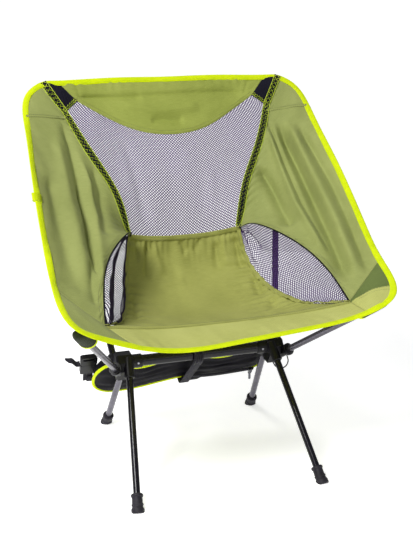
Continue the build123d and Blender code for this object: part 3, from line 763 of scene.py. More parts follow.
def build_seat_panel(seams):
    plain = relaxed(coons(base_seam, hem_seam, seams["right"]["lower"], seams["left"]["lower"], 110, 110), 40)
    relief = -0.006 * dome(plain) + folds(plain, SEAT_FOLDS)
    relief += drape(plain, 0.055, 0.045, 0.0026, 8.4)
    relief += puckers(plain, "t", 0.013, 0.012, 0.0018, 2.3)
    relief += puckers(plain, "t", 0.041, 0.022, 0.0018, 5.1)
    relief += puckers(plain, "l", 0.021, 0.016, 0.0044, 4.9)
    relief += puckers(plain, "r", 0.024, 0.015, 0.0038, 6.2)
    return build_panel("seat_panel_cloth", "seat_panel", plain, relief, 0.008, OLIVE_SEAT_PAINTED_LIGHT)[1]


def build_front_flap():
    right, left = pocket_seam(1), pocket_seam(-1)
    plain = relaxed(coons(hem_seam, stretch(RIM, right[1], left[1], closed=True), right, left, 120, 26), 60)
    relief = drape(plain, 0.10, 0.03, 0.0022, 5.5) + puckers(plain, "b", 0.026, 0.014, 0.0006, 9.1)
    return build_panel("front_flap_cloth", "front_flap", plain, relief, 0.012, OLIVE_FLAP_PAINTED_LIGHT, "b")[1]


# ---------------------------------------------------------------- wings, patches and front pockets
WING_CREASES = {
    "right": [
        ([(199, 184, 606), (206, 130, 549), (213, 40, 474), (224, -85, 405)], 9.0, 12.5, 1.7),
        ([(206, 198, 618), (216, 120, 538), (222, 36, 474), (231, -90, 405)], 6.0, -10.0, 1.4),
        ([(215, 190, 612), (223, 100, 528), (228, 0, 455), (234, -120, 392)], 9.0, 6.0, 1.7),
        ([(224, 186, 616), (237, 60, 508), (241, -45, 444), (237, -158, 378)], 14.0, -24.0, 1.7),
        ([(244, 178, 612), (258, 50, 518), (260, -50, 452), (250, -165, 382)], 14.5, 14.0, 1.8),
        ([(262, 168, 612), (281, 30, 512), (282, -60, 452), (272, -165, 388)], 11.0, -12.0, 1.6),
        ([(168, 142, 535), (184, 108, 492), (190, 66, 460), (192, 10, 434)], 12.0, -18.0, 1.6)],
    "left": [
        ([(222, 206, 634), (213, 172, 590), (206, 110, 526), (207, 20, 453), (214, -60, 412)],
         11.5, -9.5, 1.6),
        ([(207, 118, 533), (206, 59, 485), (212, -8, 440), (217, -88, 402)], 5.6, -10.5, 1.3),
        ([(197, 153, 569), (187, 119, 524), (187, 60, 475), (196, -10, 440), (210, -120, 392)],
         9.0, 6.0, 1.7),
        ([(174, 150, 552), (164, 120, 505), (167, 80, 470), (176, 20, 444)], 9.0, -5.0, 1.6),
        ([(240, 180, 608), (238, 90, 522), (238, 10, 466), (240, -120, 398)], 15.0, 6.5, 1.8),
        ([(262, 90, 558), (262, 0, 490), (258, -80, 434), (248, -150, 394)], 18.0, -8.0, 1.8),
        ([(222, -60, 424), (228, -110, 402), (230, -158, 380)], 7.0, -4.0, 1.6)],
}
SEAM_DROP = 0.087         # from the rim down to the wing's cross seam
SEAM_WIDTH = 0.0066
# Where each front pocket's hem starts and how it slopes, as shares of the pocket, and its rows of stitches.
POCKET_HEMS = {"right": (0.05, 0.74, (0.09, 0.17)), "left": (0.0, 0.0, (0.93,))}


def build_wing(side, sign, seams):
    top, bottom = rim_part(PATCH_TOP_OUTER, TOP_CORNER, sign), placed([LENS_FRONT, POCKET_REAR], sign)
    inner, outer = np.vstack([seams["patch"][:-1], seams["long"]]), rim_part(TOP_CORNER, POCKET_REAR, sign)
    plain = relaxed(coons(top, bottom, inner, outer, 84, 190), 900)
    relief = creases(plain, WING_CREASES[side], sign)
    relief += drape(plain, 0.030, 0.30, 0.0022, 2.0 + sign)
    relief += drape(plain, 0.055, 0.070, 0.0026, 12.0 + sign)
    relief += puckers(plain, "r", 0.034, 0.014, 0.0008, 3.3 + sign)
    relief += puckers(plain, "l", 0.019, 0.011, 0.0013, 7.7 + sign)
    grid = build_panel(f"wing_cloth_{side}", f"wing_{side}", plain, relief, 0.012, OLIVE_WING,
                       "tr")[1]
    build_felled_seam(f"wing_seam_{side}", grid)
    return grid


def build_felled_seam(name, grid):
    """The flat seam that crosses a wing from the black patch to the rim, with two rows of stitches."""
    distance = np.linalg.norm(grid[:, 0] - grid[0, 0], axis=1)
    row = int(np.argmin(np.abs(distance - SEAM_DROP)))
    line, normal = even(grid[row, 1:-4], 70), even(facing(grid)[row, 1:-4], 70)
    sideways = unit(np.cross(unit(np.gradient(line, axis=0)), normal))
    raised = line + normal * (FABRIC / 2 + 0.0004)
    section = flat_profile(-SEAM_WIDTH / 2, SEAM_WIDTH / 2, TAPE_THICK)
    put(swept(name, raised, sideways, normal, section, OLIVE_WING), "seat_fabric", "sling")
    runs = []
    for turned in (-1, 1):
        runs += stitch_runs(raised + sideways * turned * (SEAM_WIDTH / 2 - 0.00075), normal, 0.0008)
    sewn(f"{name}_stitches", runs, FELLED_THREAD, OLIVE_THREAD)


def build_patch(side, sign):
    plain = coons(rim_part(PATCH_TOP_INNER, PATCH_TOP_OUTER, sign),
                  placed([PATCH_BOTTOM_INNER, PATCH_BOTTOM_OUTER], sign),
                  placed([PATCH_TOP_INNER, PATCH_BOTTOM_INNER], sign),
                  placed([PATCH_TOP_OUTER, PATCH_BOTTOM_OUTER], sign), 18, 30)
    relief = 0.0022 * dome(plain) + drape(plain, 0.02, 0.03, 0.0012, 4.0 + sign)
    note_rim(plain, "t")
    grid = pushed(plain, relief * edge_hold(plain, 0.006) + 0.0003)
    piece = cloth_piece(f"top_patch_cloth_{side}", grid, RIPSTOP, PATCH_THICK)
    put(piece, "black_fabric", "sling", f"top_patch_{side}")
    return grid


def build_front_pocket(side, sign):
    """The pocket at a front corner: olive backing above its hem, and the cover's cloth below."""
    seam = pocket_seam(sign)
    plain = relaxed(coons(placed([LENS_FRONT, POCKET_REAR], sign),
                          stretch(RIM, seam[1], place(FRONT_CORNER, sign), closed=True),
                          seam, rim_part(POCKET_REAR, FRONT_CORNER, sign), 44, 40), 300)
    across, down = shares(plain)
    start, slope, stitch_rows = POCKET_HEMS[side]
    below = down - (start + slope * across)
    relief = 0.0030 * dome(plain) + drape(plain, 0.03, 0.03, 0.0014, 6.0 + sign)
    relief += 0.0011 * eased(below / 0.03)
    piece, grid = build_panel(f"front_pocket_cloth_{side}", f"front_pocket_{side}", plain, relief, 0.008,
                              [OLIVE_DARK, OLIVE_FLAP_PAINTED_LIGHT if sign > 0 else OLIVE_WING],
                              "rb")
    cover = (below[:-1, :-1] + below[1:, 1:]) / 2 > 0.01
    piece.data.polygons.foreach_set("material_index", cover.astype(np.int32).ravel())
    rows, columns = grid.shape[:2]
    column = np.arange(columns)
    normal = facing(grid)
    runs = []
    for level in stitch_rows:
        row = np.minimum(rows - 1, ((level + slope * column / columns) * rows).astype(int))
        line = smooth(grid[row, column][1:-3][::6])
        runs += stitch_runs(line, even(normal[row, column][1:-3], len(line)), FABRIC / 2 + 0.0003)
    sewn(f"front_pocket_stitches_{side}", runs, FINE_THREAD, OLIVE_THREAD)


# ---------------------------------------------------------------- nets
def weave_net(name, grid, material):
    """Knitted net on a grid: staggered diamond holes, each ringed by four threads with a real thickness."""
    flat = flattened(grid).reshape(-1, 2)
    corners = [Vector((x, y, 0)) for x, y in flat]
    solid = [Vector(p) for p in grid.reshape(-1, 3)]
    ups = [Vector(n) for n in facing(grid).reshape(-1, 3)]
    triangles = []
    for a, b, c, d in grid_faces(*grid.shape[:2]):
        triangles += [(a, b, c), (a, c, d)]
    tree = BVHTree.FromPolygons(corners, triangles)
    half = NET_PITCH / 2
    spill = NET_PITCH * 0.75      # how far past the panel's edge a knot may lie
    over, under = 0.0002, -0.0001      # where a knot's thread passes over or under the next
    around = ((0, -1), (1, 0), (0, 1), (-1, 0))
    known = {}
    front, back, uvs = [], [], []

    def lifted(x, y, lift):
        """A point of the flat net, on the surface. None where it lies outside the panel."""
        hit, _, index, far = tree.find_nearest(Vector((x, y, 0)))
        if hit is None or far > spill:
            return None
        a, b, c = triangles[index]
        at = barycentric_transform(hit, corners[a], corners[b], corners[c], solid[a], solid[b], solid[c])
        if not (at - solid[a]).length < 2 * NET_PITCH:      # a triangle with no area, at the panel's tip
            return None
        up = (ups[a] + ups[b] + ups[c]).normalized()
        front.append(at + up * (NET_THREAD / 2 + lift))
        back.append(at - up * (NET_THREAD / 2 - lift))
        uvs.append((x, y))
        return len(front) - 1

    def knot(i, j):
        if (i, j) not in known:
            known[i, j] = lifted(i * half, j * half, over if (i + j) % 4 else under)
        return known[i, j]

    def ring(i, j):
        """The four knots round a hole and the hole's own corners, or None off the panel."""
        middle = Vector((i * half, j * half, 0))
        if tree.find_nearest(middle)[3] > half * 0.5:
            return None
        outer = [knot(i + x, j + y) for x, y in around]
        if None in outer:
            return None
        reach = half * NET_HOLE
        inner = [lifted(middle.x + x * reach, middle.y + y * reach, 0.0) for x, y in around]
        return None if None in inner else (outer, inner)

    low, high = flat.min(0) / half, flat.max(0) / half
    rings = [ring(i, j) for j in range(int(low[1]) - 1, int(high[1]) + 2)
             for i in range(int(low[0]) - 1, int(high[0]) + 2) if (i + j) % 2 == 0]
    rings = [found for found in rings if found]
    count = len(front)
    faces = []
    for outer, inner in rings:
        for k in range(4):
            m = (k + 1) % 4
            faces.append((outer[k], outer[m], inner[m], inner[k]))
            faces.append((count + outer[m], count + outer[k], count + inner[k], count + inner[m]))
            faces.append((inner[k], inner[m], count + inner[m], count + inner[k]))
    sides = {(outer[k], outer[(k + 1) % 4]) for outer, _ in rings for k in range(4)}
    faces += [(b, a, count + a, count + b) for a, b in sorted(sides) if (b, a) not in sides]
    return mesh_object(name, front + back, faces, material, uvs + uvs, sharp=True)


BACK_NET_FOLDS = [((0.74, 0.16), (0.80, 0.96), 13, -5.5), ((0.30, 0.40), (0.24, 0.97), 12, 3.0)]
SIDE_NET_FOLDS = [((0.30, 0.10), (0.55, 0.24), 7, -7.0), ((0.50, 0.08), (0.85, 0.26), 7, 5.0),
                  ((0.20, 0.22), (0.75, 0.55), 16, 2.2)]
PLEAT_WAY = np.array([0.955, -0.296, 0.0])        # the left net's pleats open towards this side
PLEAT_RISE = np.array([0.091, 0.293, 0.952])
PLEAT_EDGES = [0.0, 0.14, 0.46, 0.66, 1.0]        # the pleats' edges, as shares of the way across the net,
PLEAT_OPENED = [0.0, 0.46, 0.36, 1.06, 1.0]       # how far each lies along the pleats' way,
PLEAT_SUNK = [0.0, 0.04, 0.56, 0.64, 1.0]         # and how far it has sunk towards the lower seam


def build_back_net(seams):
    plain = relaxed(coons(net_top, base_seam, seams["right"]["back"], seams["left"]["back"], 90, 80), 500)
    relief = folds(plain, BACK_NET_FOLDS) + drape(plain, 0.05, 0.16, 0.0030, 1.4)
    grid = pushed(plain, relief * edge_hold(plain, 0.016))
    piece = put(weave_net("back_net", grid, NET), "net", "sling", "back_mesh")
    return grid


def taut_net(seams):
    """The right-hand net: its plain surface between its two seams, and the same with soft folds."""
    rows, columns = 90, 40
    top, bottom = even(seams["upper"], rows), even(seams["lower"], rows)
    share = np.linspace(0, 1, columns)[None, :, None]
    along = np.linspace(0, 1, rows)[:, None]
    sag = 0.012 * np.sin(math.pi * along) ** 0.7 * np.sin(math.pi * share[..., 0])
    plain = top[:, None] * (1 - share) + bottom[:, None] * share + np.array([0.8, 0.0, -0.6]) * sag[..., None]
    relief = folds(plain, SIDE_NET_FOLDS) + drape(plain, 0.02, 0.05, 0.0020, 16.0)
    return plain, pushed(plain, relief * edge_hold(plain, 0.010, "lr"))


def pleated_net(seams):
    """The left-hand net hangs slack: two upright pleats turn it forwards, with a deep fold between them."""
    edges = []
    for line in (seams["upper"], seams["lower"]):
        rise = np.minimum.accumulate(line @ PLEAT_RISE)
        levels = np.linspace(seams["upper"][0] @ PLEAT_RISE, rise[-1], 110)
        edges.append(sampled(line, -rise, -levels))
    top, bottom = edges
    span = bottom - top
    aside = (span @ PLEAT_WAY)[:, None] * PLEAT_WAY
    share = np.linspace(0, 1, 49)
    opened, sunk = (np.interp(share, PLEAT_EDGES, at)[None, :, None] for at in (PLEAT_OPENED, PLEAT_SUNK))
    plain = top[:, None] + share[None, :, None] * span[:, None]
    grid = top[:, None] + opened * aside[:, None] + sunk * (span - aside)[:, None]
    slack = drape(plain, 0.05, 0.035, 0.0050, 14.0) * edge_hold(plain, 0.012, "lr")
    return grid + PLEAT_WAY * slack[..., None]


def build_side_net(side, sign, seams):
    if sign > 0:
        flat, grid = taut_net(seams)
    else:
        flat = grid = pleated_net(seams)
    piece = weave_net(f"side_net_{side}", grid, NET if sign > 0 else NET_DARK)
    put(piece, "net", "sling", f"side_mesh_{side}")


# ---------------------------------------------------------------- tapes, hems, binding and their stitches
def seam_frames(grid, edge):
    """An edge of a panel as a line, with directions into the panel and out of its face."""
    line, inner, up = edge_of(grid, edge)
    tangents = unit(np.gradient(line, axis=0))
    inward = square_to(inner - line, tangents)
    return line, inward, square_to(square_to(up, tangents), inward)


def eased_frames(line, inward, up, count):
    """Evenly spaced points on a seam, with its two directions smoothed along it."""
    along = lengths(line)
    at = np.linspace(0, along[-1], count)
    points, side, normal = (sampled(values, along, at) for values in (line, inward, up))
    for _ in range(6):
        for values in (side, normal):
            values[1:-1] = (values[:-2] + values[1:-1] + values[2:]) / 3
    side = unit(side)
    return points, side, square_to(normal, side)


def tape_half(name, line, inward, up, *nodes):
    """One half of the black tape on the long seam, from the seam inwards, with its ladder of stitches."""
    points, across, normal = eased_frames(line, inward, up, 120)
    raised = points + normal * 0.0010
    tape = swept(name, raised, across, normal, flat_profile(-0.0004, TAPE_WIDTH, TAPE_THICK), BLACK_TAPE)
    put(tape, "binding", "sling", *nodes)
    runs = [zigzag(raised, across, normal, 0.0003, TAPE_WIDTH - 0.0006, 0.0098, 0.0010, phase)
            for phase in (0.0, 2.0)]
    runs.append(raised + across * (TAPE_WIDTH - 0.0004) + normal * 0.0008)
    sewn(f"{name}_stitches", runs, LADDER_THREAD, NEON_THREAD, "binding", sides=4)


def build_seam_tape(side, wing_grid, net_grid, patch_grid):
    """The tape along the wing's inner seam, down to the net's foot. It lies on the panels at both sides."""
    seam = seam_frames(wing_grid, "l")
    last = nearest(seam[0], place(MESH_FOOT, SIDES[side])) + 1
    tape_half(f"seam_tape_wing_{side}", *(values[:last] for values in seam), f"seam_tape_{side}")
    tape_half(f"seam_tape_net_{side}", *seam_frames(net_grid, "l" if side == "right" else "r"))
    tape_half(f"seam_tape_patch_{side}", *seam_frames(patch_grid, "r"))


def build_lens_binding(side, wing_grid):
    """The narrow black edge along the top of the side mesh, and two rows of stitches beside it."""
    seam = seam_frames(wing_grid, "l")
    first = nearest(seam[0], place(MESH_FOOT, SIDES[side]))
    points, across, normal = eased_frames(*(values[first:] for values in seam), 110)
    edge = swept(f"side_mesh_edge_{side}", points + normal * 0.0007, across, normal,
                 flat_profile(-0.0026, 0.0006, 0.0013), BLACK_TAPE)
    put(edge, "binding", "sling")
    runs = stitch_runs(points + across * 0.0045, normal, 0.0008)
    runs += stitch_runs(points + across * 0.0085, normal, 0.0008)
    sewn(f"side_mesh_stitches_{side}", runs, FINE_THREAD, OLIVE_THREAD)


def build_ruffle(side, seat_grid):
    """The gathered seam allowance that stands up along the foot of the side mesh."""
    seam = seam_frames(seat_grid, "l" if side == "right" else "r")
    points, across, normal = eased_frames(*seam, 260)
    along = lengths(points)
    wave = np.array([noisy(a / 0.011, 2.5, SIDES[side]) for a in along])[:, None]
    slow = np.array([noisy(a / 0.040, 7.5, SIDES[side]) for a in along])[:, None]
    raised = points + normal * (0.0024 + 0.0034 * np.abs(wave) + 0.0016 * slow) - across * (0.0012 * wave)
    lean = unit(across + normal * (0.55 * wave))
    upright = unit(np.cross(unit(np.gradient(raised, axis=0)), lean))
    upright *= np.sign((upright * normal).sum(1, keepdims=True))
    section = flat_profile(-0.0030, 0.0062, 0.0010)
    put(swept(f"seat_ruffle_{side}", raised, lean, upright, section, OLIVE_SEAT_PAINTED_LIGHT), "seat_fabric", "sling")
    runs = stitch_runs(raised + lean * 0.0034, upright, 0.0008)
    sewn(f"seat_ruffle_stitches_{side}", runs, FINE_THREAD, OLIVE_THREAD)


def build_hem(name, grid, edge, low, high, lift, material, rows_at):
    """A folded strip sewn along one edge of a panel, with its rows of stitches."""
    points, across, normal = eased_frames(*seam_frames(grid, edge), 150)
    raised = points + normal * lift
    section = flat_profile(low, high, 0.0012)
    put(swept(name, raised, across, normal, section, material), "seat_fabric", "sling")
    runs = []
    for row in rows_at:
        runs += stitch_runs(raised + across * row, normal, 0.0009)
    sewn(f"{name}_stitches", runs, FINE_THREAD, OLIVE_THREAD)


def build_patch_bar(side, sign):
    """The band of bright stitches along the foot of the black patch."""
    count = 30
    line = even(placed([PATCH_BOTTOM_INNER, PATCH_BOTTOM_OUTER], sign), count)
    inward = unit(place(PATCH_TOP_INNER, sign) - place(PATCH_BOTTOM_INNER, sign))
    up = unit(np.cross(unit(line[-1] - line[0]), inward))
    up = up if up @ (SITTER - line[0]) > 0 else -up
    inward, normal = np.tile(inward, (count, 1)), np.tile(up, (count, 1))
    raised = line + normal * 0.0013
    section = flat_profile(-0.0035, 0.0060, TAPE_THICK)
    put(swept(f"patch_bar_{side}", raised, inward, normal, section, BLACK_TAPE), "binding", "sling")
    runs = [zigzag(raised, inward, normal, low, low + 0.0032, 0.0062, 0.0009, phase)
            for low in (-0.0028, 0.0016) for phase in (0.0, 2.0)]
    sewn(f"patch_bar_stitches_{side}", runs, BAR_THREAD, NEON_THREAD, "binding", sides=4)


def build_binding():
    """The bright tape folded over the whole rim, and the two rows of stitches that hold it."""
    points, inwards, ups = np.vstack(rim_points), np.vstack(rim_inwards), np.vstack(rim_normals)
    ring = even(RIM, 761)[:-1]
    tangents = ring_tangents(ring)
    side, normal = np.zeros_like(ring), np.zeros_like(ring)
    for i, point in enumerate(ring):
        near = np.exp(-(np.linalg.norm(points - point, axis=1) / 0.007) ** 2) + 1e-12
        side[i] = near @ inwards
        normal[i] = near @ ups
    for _ in range(8):
        side = unit(side + np.roll(side, 1, axis=0) + np.roll(side, -1, axis=0))
        normal = unit(normal + np.roll(normal, 1, axis=0) + np.roll(normal, -1, axis=0))
    side = square_to(side, tangents)
    normal = square_to(square_to(normal, tangents), side)
    face = [(BINDING_WIDTH, 0.0004), (BINDING_WIDTH - 0.0006, 0.0011), (0.004, 0.0013), (0.0008, 0.0014),
            (-0.0010, 0.0010)]
    section = face + [(-0.0017, 0.0)] + [(a, -b) for a, b in face[::-1]]
    bulge = np.array([1 + 0.05 * noisy(a / 0.03, 0.5, 3.5) for a in lengths(ring)])
    tape = swept("edge_binding_tape", ring, side, normal, section, NEON, closed=True, bulge=bulge)
    put(tape, "binding", "sling", "edge_binding")
    loop, sides, ups = (np.vstack([values, values[:1]]) for values in (ring, side, normal))
    runs = []
    for face_up in (ups, -ups):
        runs += stitch_runs(loop + sides * 0.0066 + face_up * 0.0011, face_up, 0.00035)
    sewn("edge_binding_stitches", runs, 0.00024, NEON_THREAD, "binding", sides=4)
    return ring, side, normal


seams = {side: side_seams(sign) for side, sign in SIDES.items()}
top_grid = build_top_panel()
seat_grid = build_seat_panel(seams)
flap_grid = build_front_flap()
net_grid = build_back_net(seams)
for side, sign in SIDES.items():
    wing_grid = build_wing(side, sign, seams[side])
    patch_grid = build_patch(side, sign)
    build_front_pocket(side, sign)
    build_side_net(side, sign, seams[side])
    build_seam_tape(side, wing_grid, net_grid, patch_grid)
    build_ruffle(side, seat_grid)
    build_lens_binding(side, wing_grid)
    build_patch_bar(side, sign)
build_hem("net_top_hem", top_grid, "b", -0.0015, 0.0075, 0.0007, OLIVE, (0.0012, 0.0062))
build_hem("net_foot_hem", seat_grid, "t", -0.0025, 0.0080, 0.0008, OLIVE_SEAT_PAINTED_LIGHT, (0.0002, 0.0066))
build_hem("front_hem", flap_grid, "t", -0.0030, 0.0060, 0.0008, OLIVE_SEAT_PAINTED_LIGHT, (-0.0016, 0.0046))
rim_ring, rim_side, rim_up = build_binding()


# ---------------------------------------------------------------- pockets for the pole tips, and the label
def pole_pocket(name, tip, axis, towards, length, width, depth, beyond, material, hem, slot):
    """A closed fabric cup round a pole's tip, flattened against the sling, with a hem of tape at its mouth.
    """
    side = np.cross(axis, towards)
    sleeve = ((-1.0, 1.0), (-0.8, 0.97), (-0.55, 0.96), (-0.3, 0.97), (0.0, 0.95))
    closed_end = ((0.45, 0.86), (0.80, 0.62), (0.96, 0.30), (1.0, 0.04))
    stations = [(share * length, size) for share, size in sleeve]
    stations += [(share * beyond, size) for share, size in closed_end]
    count = 28
    turn = np.arange(count)[:, None] / count * 2 * math.pi
    grid = []
    for index, (station, size) in enumerate(stations):
        across = width / 2 * size * (1 + 0.20 * max(0.0, -station / length))
        out = depth / 2 * size * np.where(np.sin(turn) > 0, 0.75, 1.0)
        wrinkle = 1 + 0.05 * np.sin(3 * turn + index) * (station < 0.005)
        around = side * across * np.cos(turn) + towards * out * np.sin(turn)
        grid.append(tip + axis * station + wrinkle * around)
    grid = np.array(grid)
    faces = grid_faces(len(grid), count, wrap=True)
    faces.append(tuple(range((len(grid) - 1) * count, len(grid) * count)))
    around = lengths(grid[0])
    uvs = [(around[k], row * 0.012) for row in range(len(grid)) for k in range(count)]
    cup = mesh_object(name, grid.reshape(-1, 3), faces, material, uvs)
    rounder = cup.modifiers.new("rounder", "SUBSURF")
    rounder.levels = rounder.render_levels = 1
    cup.modifiers.new("thickness", "SOLIDIFY").thickness = FABRIC
    put(cup, slot, "sling")
    mouth = grid[0]
    loop = swept(f"{name}_hem", mouth - axis * 0.0005, np.tile(axis, (count, 1)), unit(mouth - mouth.mean(0)),
                 flat_profile(-0.0022, 0.0042, 0.0018), hem, closed=True)
    put(loop, "binding", "sling")


def build_pole_pocket(name, pole, sign, flat_side, *sizes_and_cloth):
    base, tip = place(pole[0], sign), place(pole[1], sign)
    axis = unit(tip - base)
    towards = unit(flat_side - (flat_side @ axis) * axis)
    pole_pocket(name, tip, axis, towards, *sizes_and_cloth)


def build_label_tab(ring, side, normal):
    """A small plain tab of folded tape, caught in the binding on the left-hand edge."""
    near = nearest(ring, place((301.0, 20.0, 528.0), -1))
    line = even(ring[np.arange(near - 3, near + 4) % len(ring)], 9)
    face = [(-BINDING_WIDTH - 0.0012, -0.0019), (0.0025, -0.0024), (0.0058, -0.0015)]
    section = face + [(0.0068, 0.0)] + [(a, -b) for a, b in face[::-1]]
    tab = swept("label_tab", line, np.tile(-side[near], (9, 1)), np.tile(normal[near], (9, 1)), section, NEON)
    put(tab, "binding", "sling")


for side, sign in SIDES.items():
    build_pole_pocket(f"back_pocket_{side}", BACK_POLE, sign, np.array([0.0, -1.0, 0.35]),
                      0.062, 0.040, 0.024, 0.0156, RIPSTOP, BLACK_TAPE, "black_fabric")
    build_pole_pocket(f"under_pocket_{side}", SEAT_POLE, sign, np.array([0.0, 0.35, 1.0]),
                      0.054, 0.026, 0.019, 0.0105, POCKET_CLOTH, NEON, "seat_fabric")
build_label_tab(rim_ring, rim_side, rim_up)

# ---------------------------------------------------------------- storage bag, hung from the crossbar
REAR_LEG_TOP = (145.0, 13.0, 204.0)
REAR_LEG_FOOT = (162.0, 150.5, 0.0)
BAG_LENGTH = 0.368
BAG_HEIGHT = 0.096
BAG_THICK = 0.034
BAG_END_RADIUS = 0.042
BAG_MIDDLE = (-12.0, 135.0)
BAG_ROLL = math.radians(1.6)
BAG_STAND_OFF = 11.0
BAG_INSETS = [0.0470, 0.0430, 0.0380, 0.0320, 0.0260, 0.0200, 0.0150, 0.0105, 0.0065, 0.0030, 0.0010, 0.0]
PIPING_DEPTH = 0.0128
PIPING_RADIUS = 0.0031
STRAP_X = -0.006
STRAP_WIDTH = 0.019
STRAP_THICK = 0.0016
WEB_WIDTH = 0.020
rear_run = np.array(REAR_LEG_FOOT) - np.array(REAR_LEG_TOP)
bag_up = unit(np.array([0.0, -rear_run[1], -rear_run[2]]))
bag_back = np.array([0.0, bag_up[2], -bag_up[1]])
leg_y = REAR_LEG_TOP[1] + rear_run[1] * (REAR_LEG_TOP[2] - BAG_MIDDLE[1]) / -rear_run[2]
bag_origin = place((BAG_MIDDLE[0], leg_y + BAG_STAND_OFF / bag_back[1], BAG_MIDDLE[1]))
STRAP_ON_BAG = STRAP_X - bag_origin[0]            # the strap's place along the bag


def on_bag(x, y, depth):
    """A point of the bag: along it, up it, and behind its front face."""
    along = x * math.cos(BAG_ROLL) - y * math.sin(BAG_ROLL)
    rise = x * math.sin(BAG_ROLL) + y * math.cos(BAG_ROLL)
    return bag_origin + np.array([along, 0, 0]) + bag_up * rise + bag_back * depth


def bag_outline(inset, count):
    """A stadium-like outline set in from the bag's edge, from the middle of its top, as (x, y) points."""
    radius = max(BAG_END_RADIUS - inset, 0.0015)
    half_x, half_y = BAG_LENGTH / 2 - inset - radius, max(BAG_HEIGHT / 2 - inset - radius, 0.0)
    points = []
    for sign_x, sign_y, start in ((1, 1, 90), (1, -1, 0), (-1, -1, -90), (-1, 1, -180)):
        for angle in np.radians(start - 7.5 * np.arange(13)):
            points.append((sign_x * half_x + radius * math.cos(angle),
                           sign_y * half_y + radius * math.sin(angle), 0.0))
    middle = (0.0, points[0][1], 0.0)
    return even(np.array([middle] + points + [middle]), count + 1)[:-1, :2]


def bag_sag(x, y):
    """How the hung bag leaves its flat outline: it droops beside its strap, and the strap pinches it."""
    pinch = math.exp(-((x - STRAP_ON_BAG) / 0.030) ** 2)
    share = min(1.0, abs(x - STRAP_ON_BAG) / 0.172)
    droop = math.sin(math.pi * share ** (0.8 if x > STRAP_ON_BAG else 1.25)) ** 2
    upper = float(eased((y + 0.02) / 0.06))
    left_end = float(eased((-x - 0.01) / 0.13))
    return y * (1 - 0.10 * pinch) - droop * (0.004 + 0.020 * upper) - left_end * 0.015 * (1 - upper)


def rim_depth(y):
    """How far behind the front face the piping runs: along the top the bag's edge is folded forwards."""
    return PIPING_DEPTH - 0.0085 * float(eased((y + 0.010) / 0.045))


def bag_relief(x, y, seed):
    """Creases and soft dents of the bag's cloth, and its gathers under the strap."""
    long_crease = noisy(x / 0.075, y / 0.013, seed) * 0.0030
    dents = noisy(x / 0.035, y / 0.030, seed + 5) * 0.0022
    gathers = 0.0020 * math.exp(-((x - STRAP_ON_BAG) / 0.035) ** 2) * math.sin(y / 0.0042)
    return long_crease + dents + gathers


def bag_rings():
    """The bag's skin as rings from the middle of its front to the middle of its back: each one's inset, its
    depth, how much it follows the folded rim, and how free its cloth is to crease."""
    front, back = [], []
    for inset in BAG_INSETS:
        fullness = 1 - (1 - inset / 0.048) ** 2.2
        freedom = 1.0 - math.exp(-inset / 0.006)
        front.append((inset, PIPING_DEPTH - 0.0095 * fullness - 0.001, 1 - fullness, freedom))
        back.append((inset, 0.0285 + 0.0045 * fullness, 0.0, freedom))
    edge = [(0.0002, 0.0150, 1.0, 0.25), (-0.0004, 0.0190, 0.8, 0.25), (0.0004, 0.0235, 0.4, 0.25),
            (0.0030, 0.0275, 0.1, 0.25)]
    return front + edge + back[::-1][3:]


def build_bag_pouch():
    count = 230
    rings = bag_rings()
    vertices, uvs = [], []
    for index, (inset, depth, shear, freedom) in enumerate(rings):
        front = index < len(BAG_INSETS)
        for x, y in bag_outline(inset, count):
            relief = bag_relief(x, y, 2.0 if front else 21.0) * freedom
            if front:      # flat where a leg crosses it
                relief *= -eased(min(abs(x - 0.166), abs(x + 0.142)) / 0.020)
            folded = (rim_depth(y) - PIPING_DEPTH) * shear
            vertices.append(on_bag(x, bag_sag(x, y), depth + folded - relief))
            uvs.append((x, y + (0 if front else 0.12)))
    faces = grid_faces(len(rings), count, wrap=True)
    faces.append(tuple(range(count - 1, -1, -1)))
    faces.append(tuple(range(len(vertices) - count, len(vertices))))
    bag = put(mesh_object("bag_pouch", vertices, faces, BAG_CLOTH, uvs), "bag_fabric", "bag", "storage_bag")


def build_bag_piping():
    loop = np.array([on_bag(x, bag_sag(x, y), rim_depth(y)) for x, y in bag_outline(-0.0012, 300)])
    back = np.tile(bag_back, (len(loop), 1))
    outward = ring_outward(loop, back)
    turn = np.arange(10) / 10 * 2 * math.pi
    section = [(PIPING_RADIUS * math.cos(a), PIPING_RADIUS * math.sin(a)) for a in turn]
    ripple = np.array([1 + 0.07 * noisy(i / 6.0, 0.5, 1.5) for i in range(len(loop))])
    piping = swept("bag_piping_cord", loop, outward, back, section, NEON, closed=True, bulge=ripple)
    put(piping, "binding", "bag", "bag_piping")
    runs = stitch_runs(loop - outward * 0.0042 - back * 0.0012, -back, 0.0006)
    sewn("bag_piping_stitches", runs, 0.00026, BLACK_THREAD, "bag_fabric", "bag", sides=4)


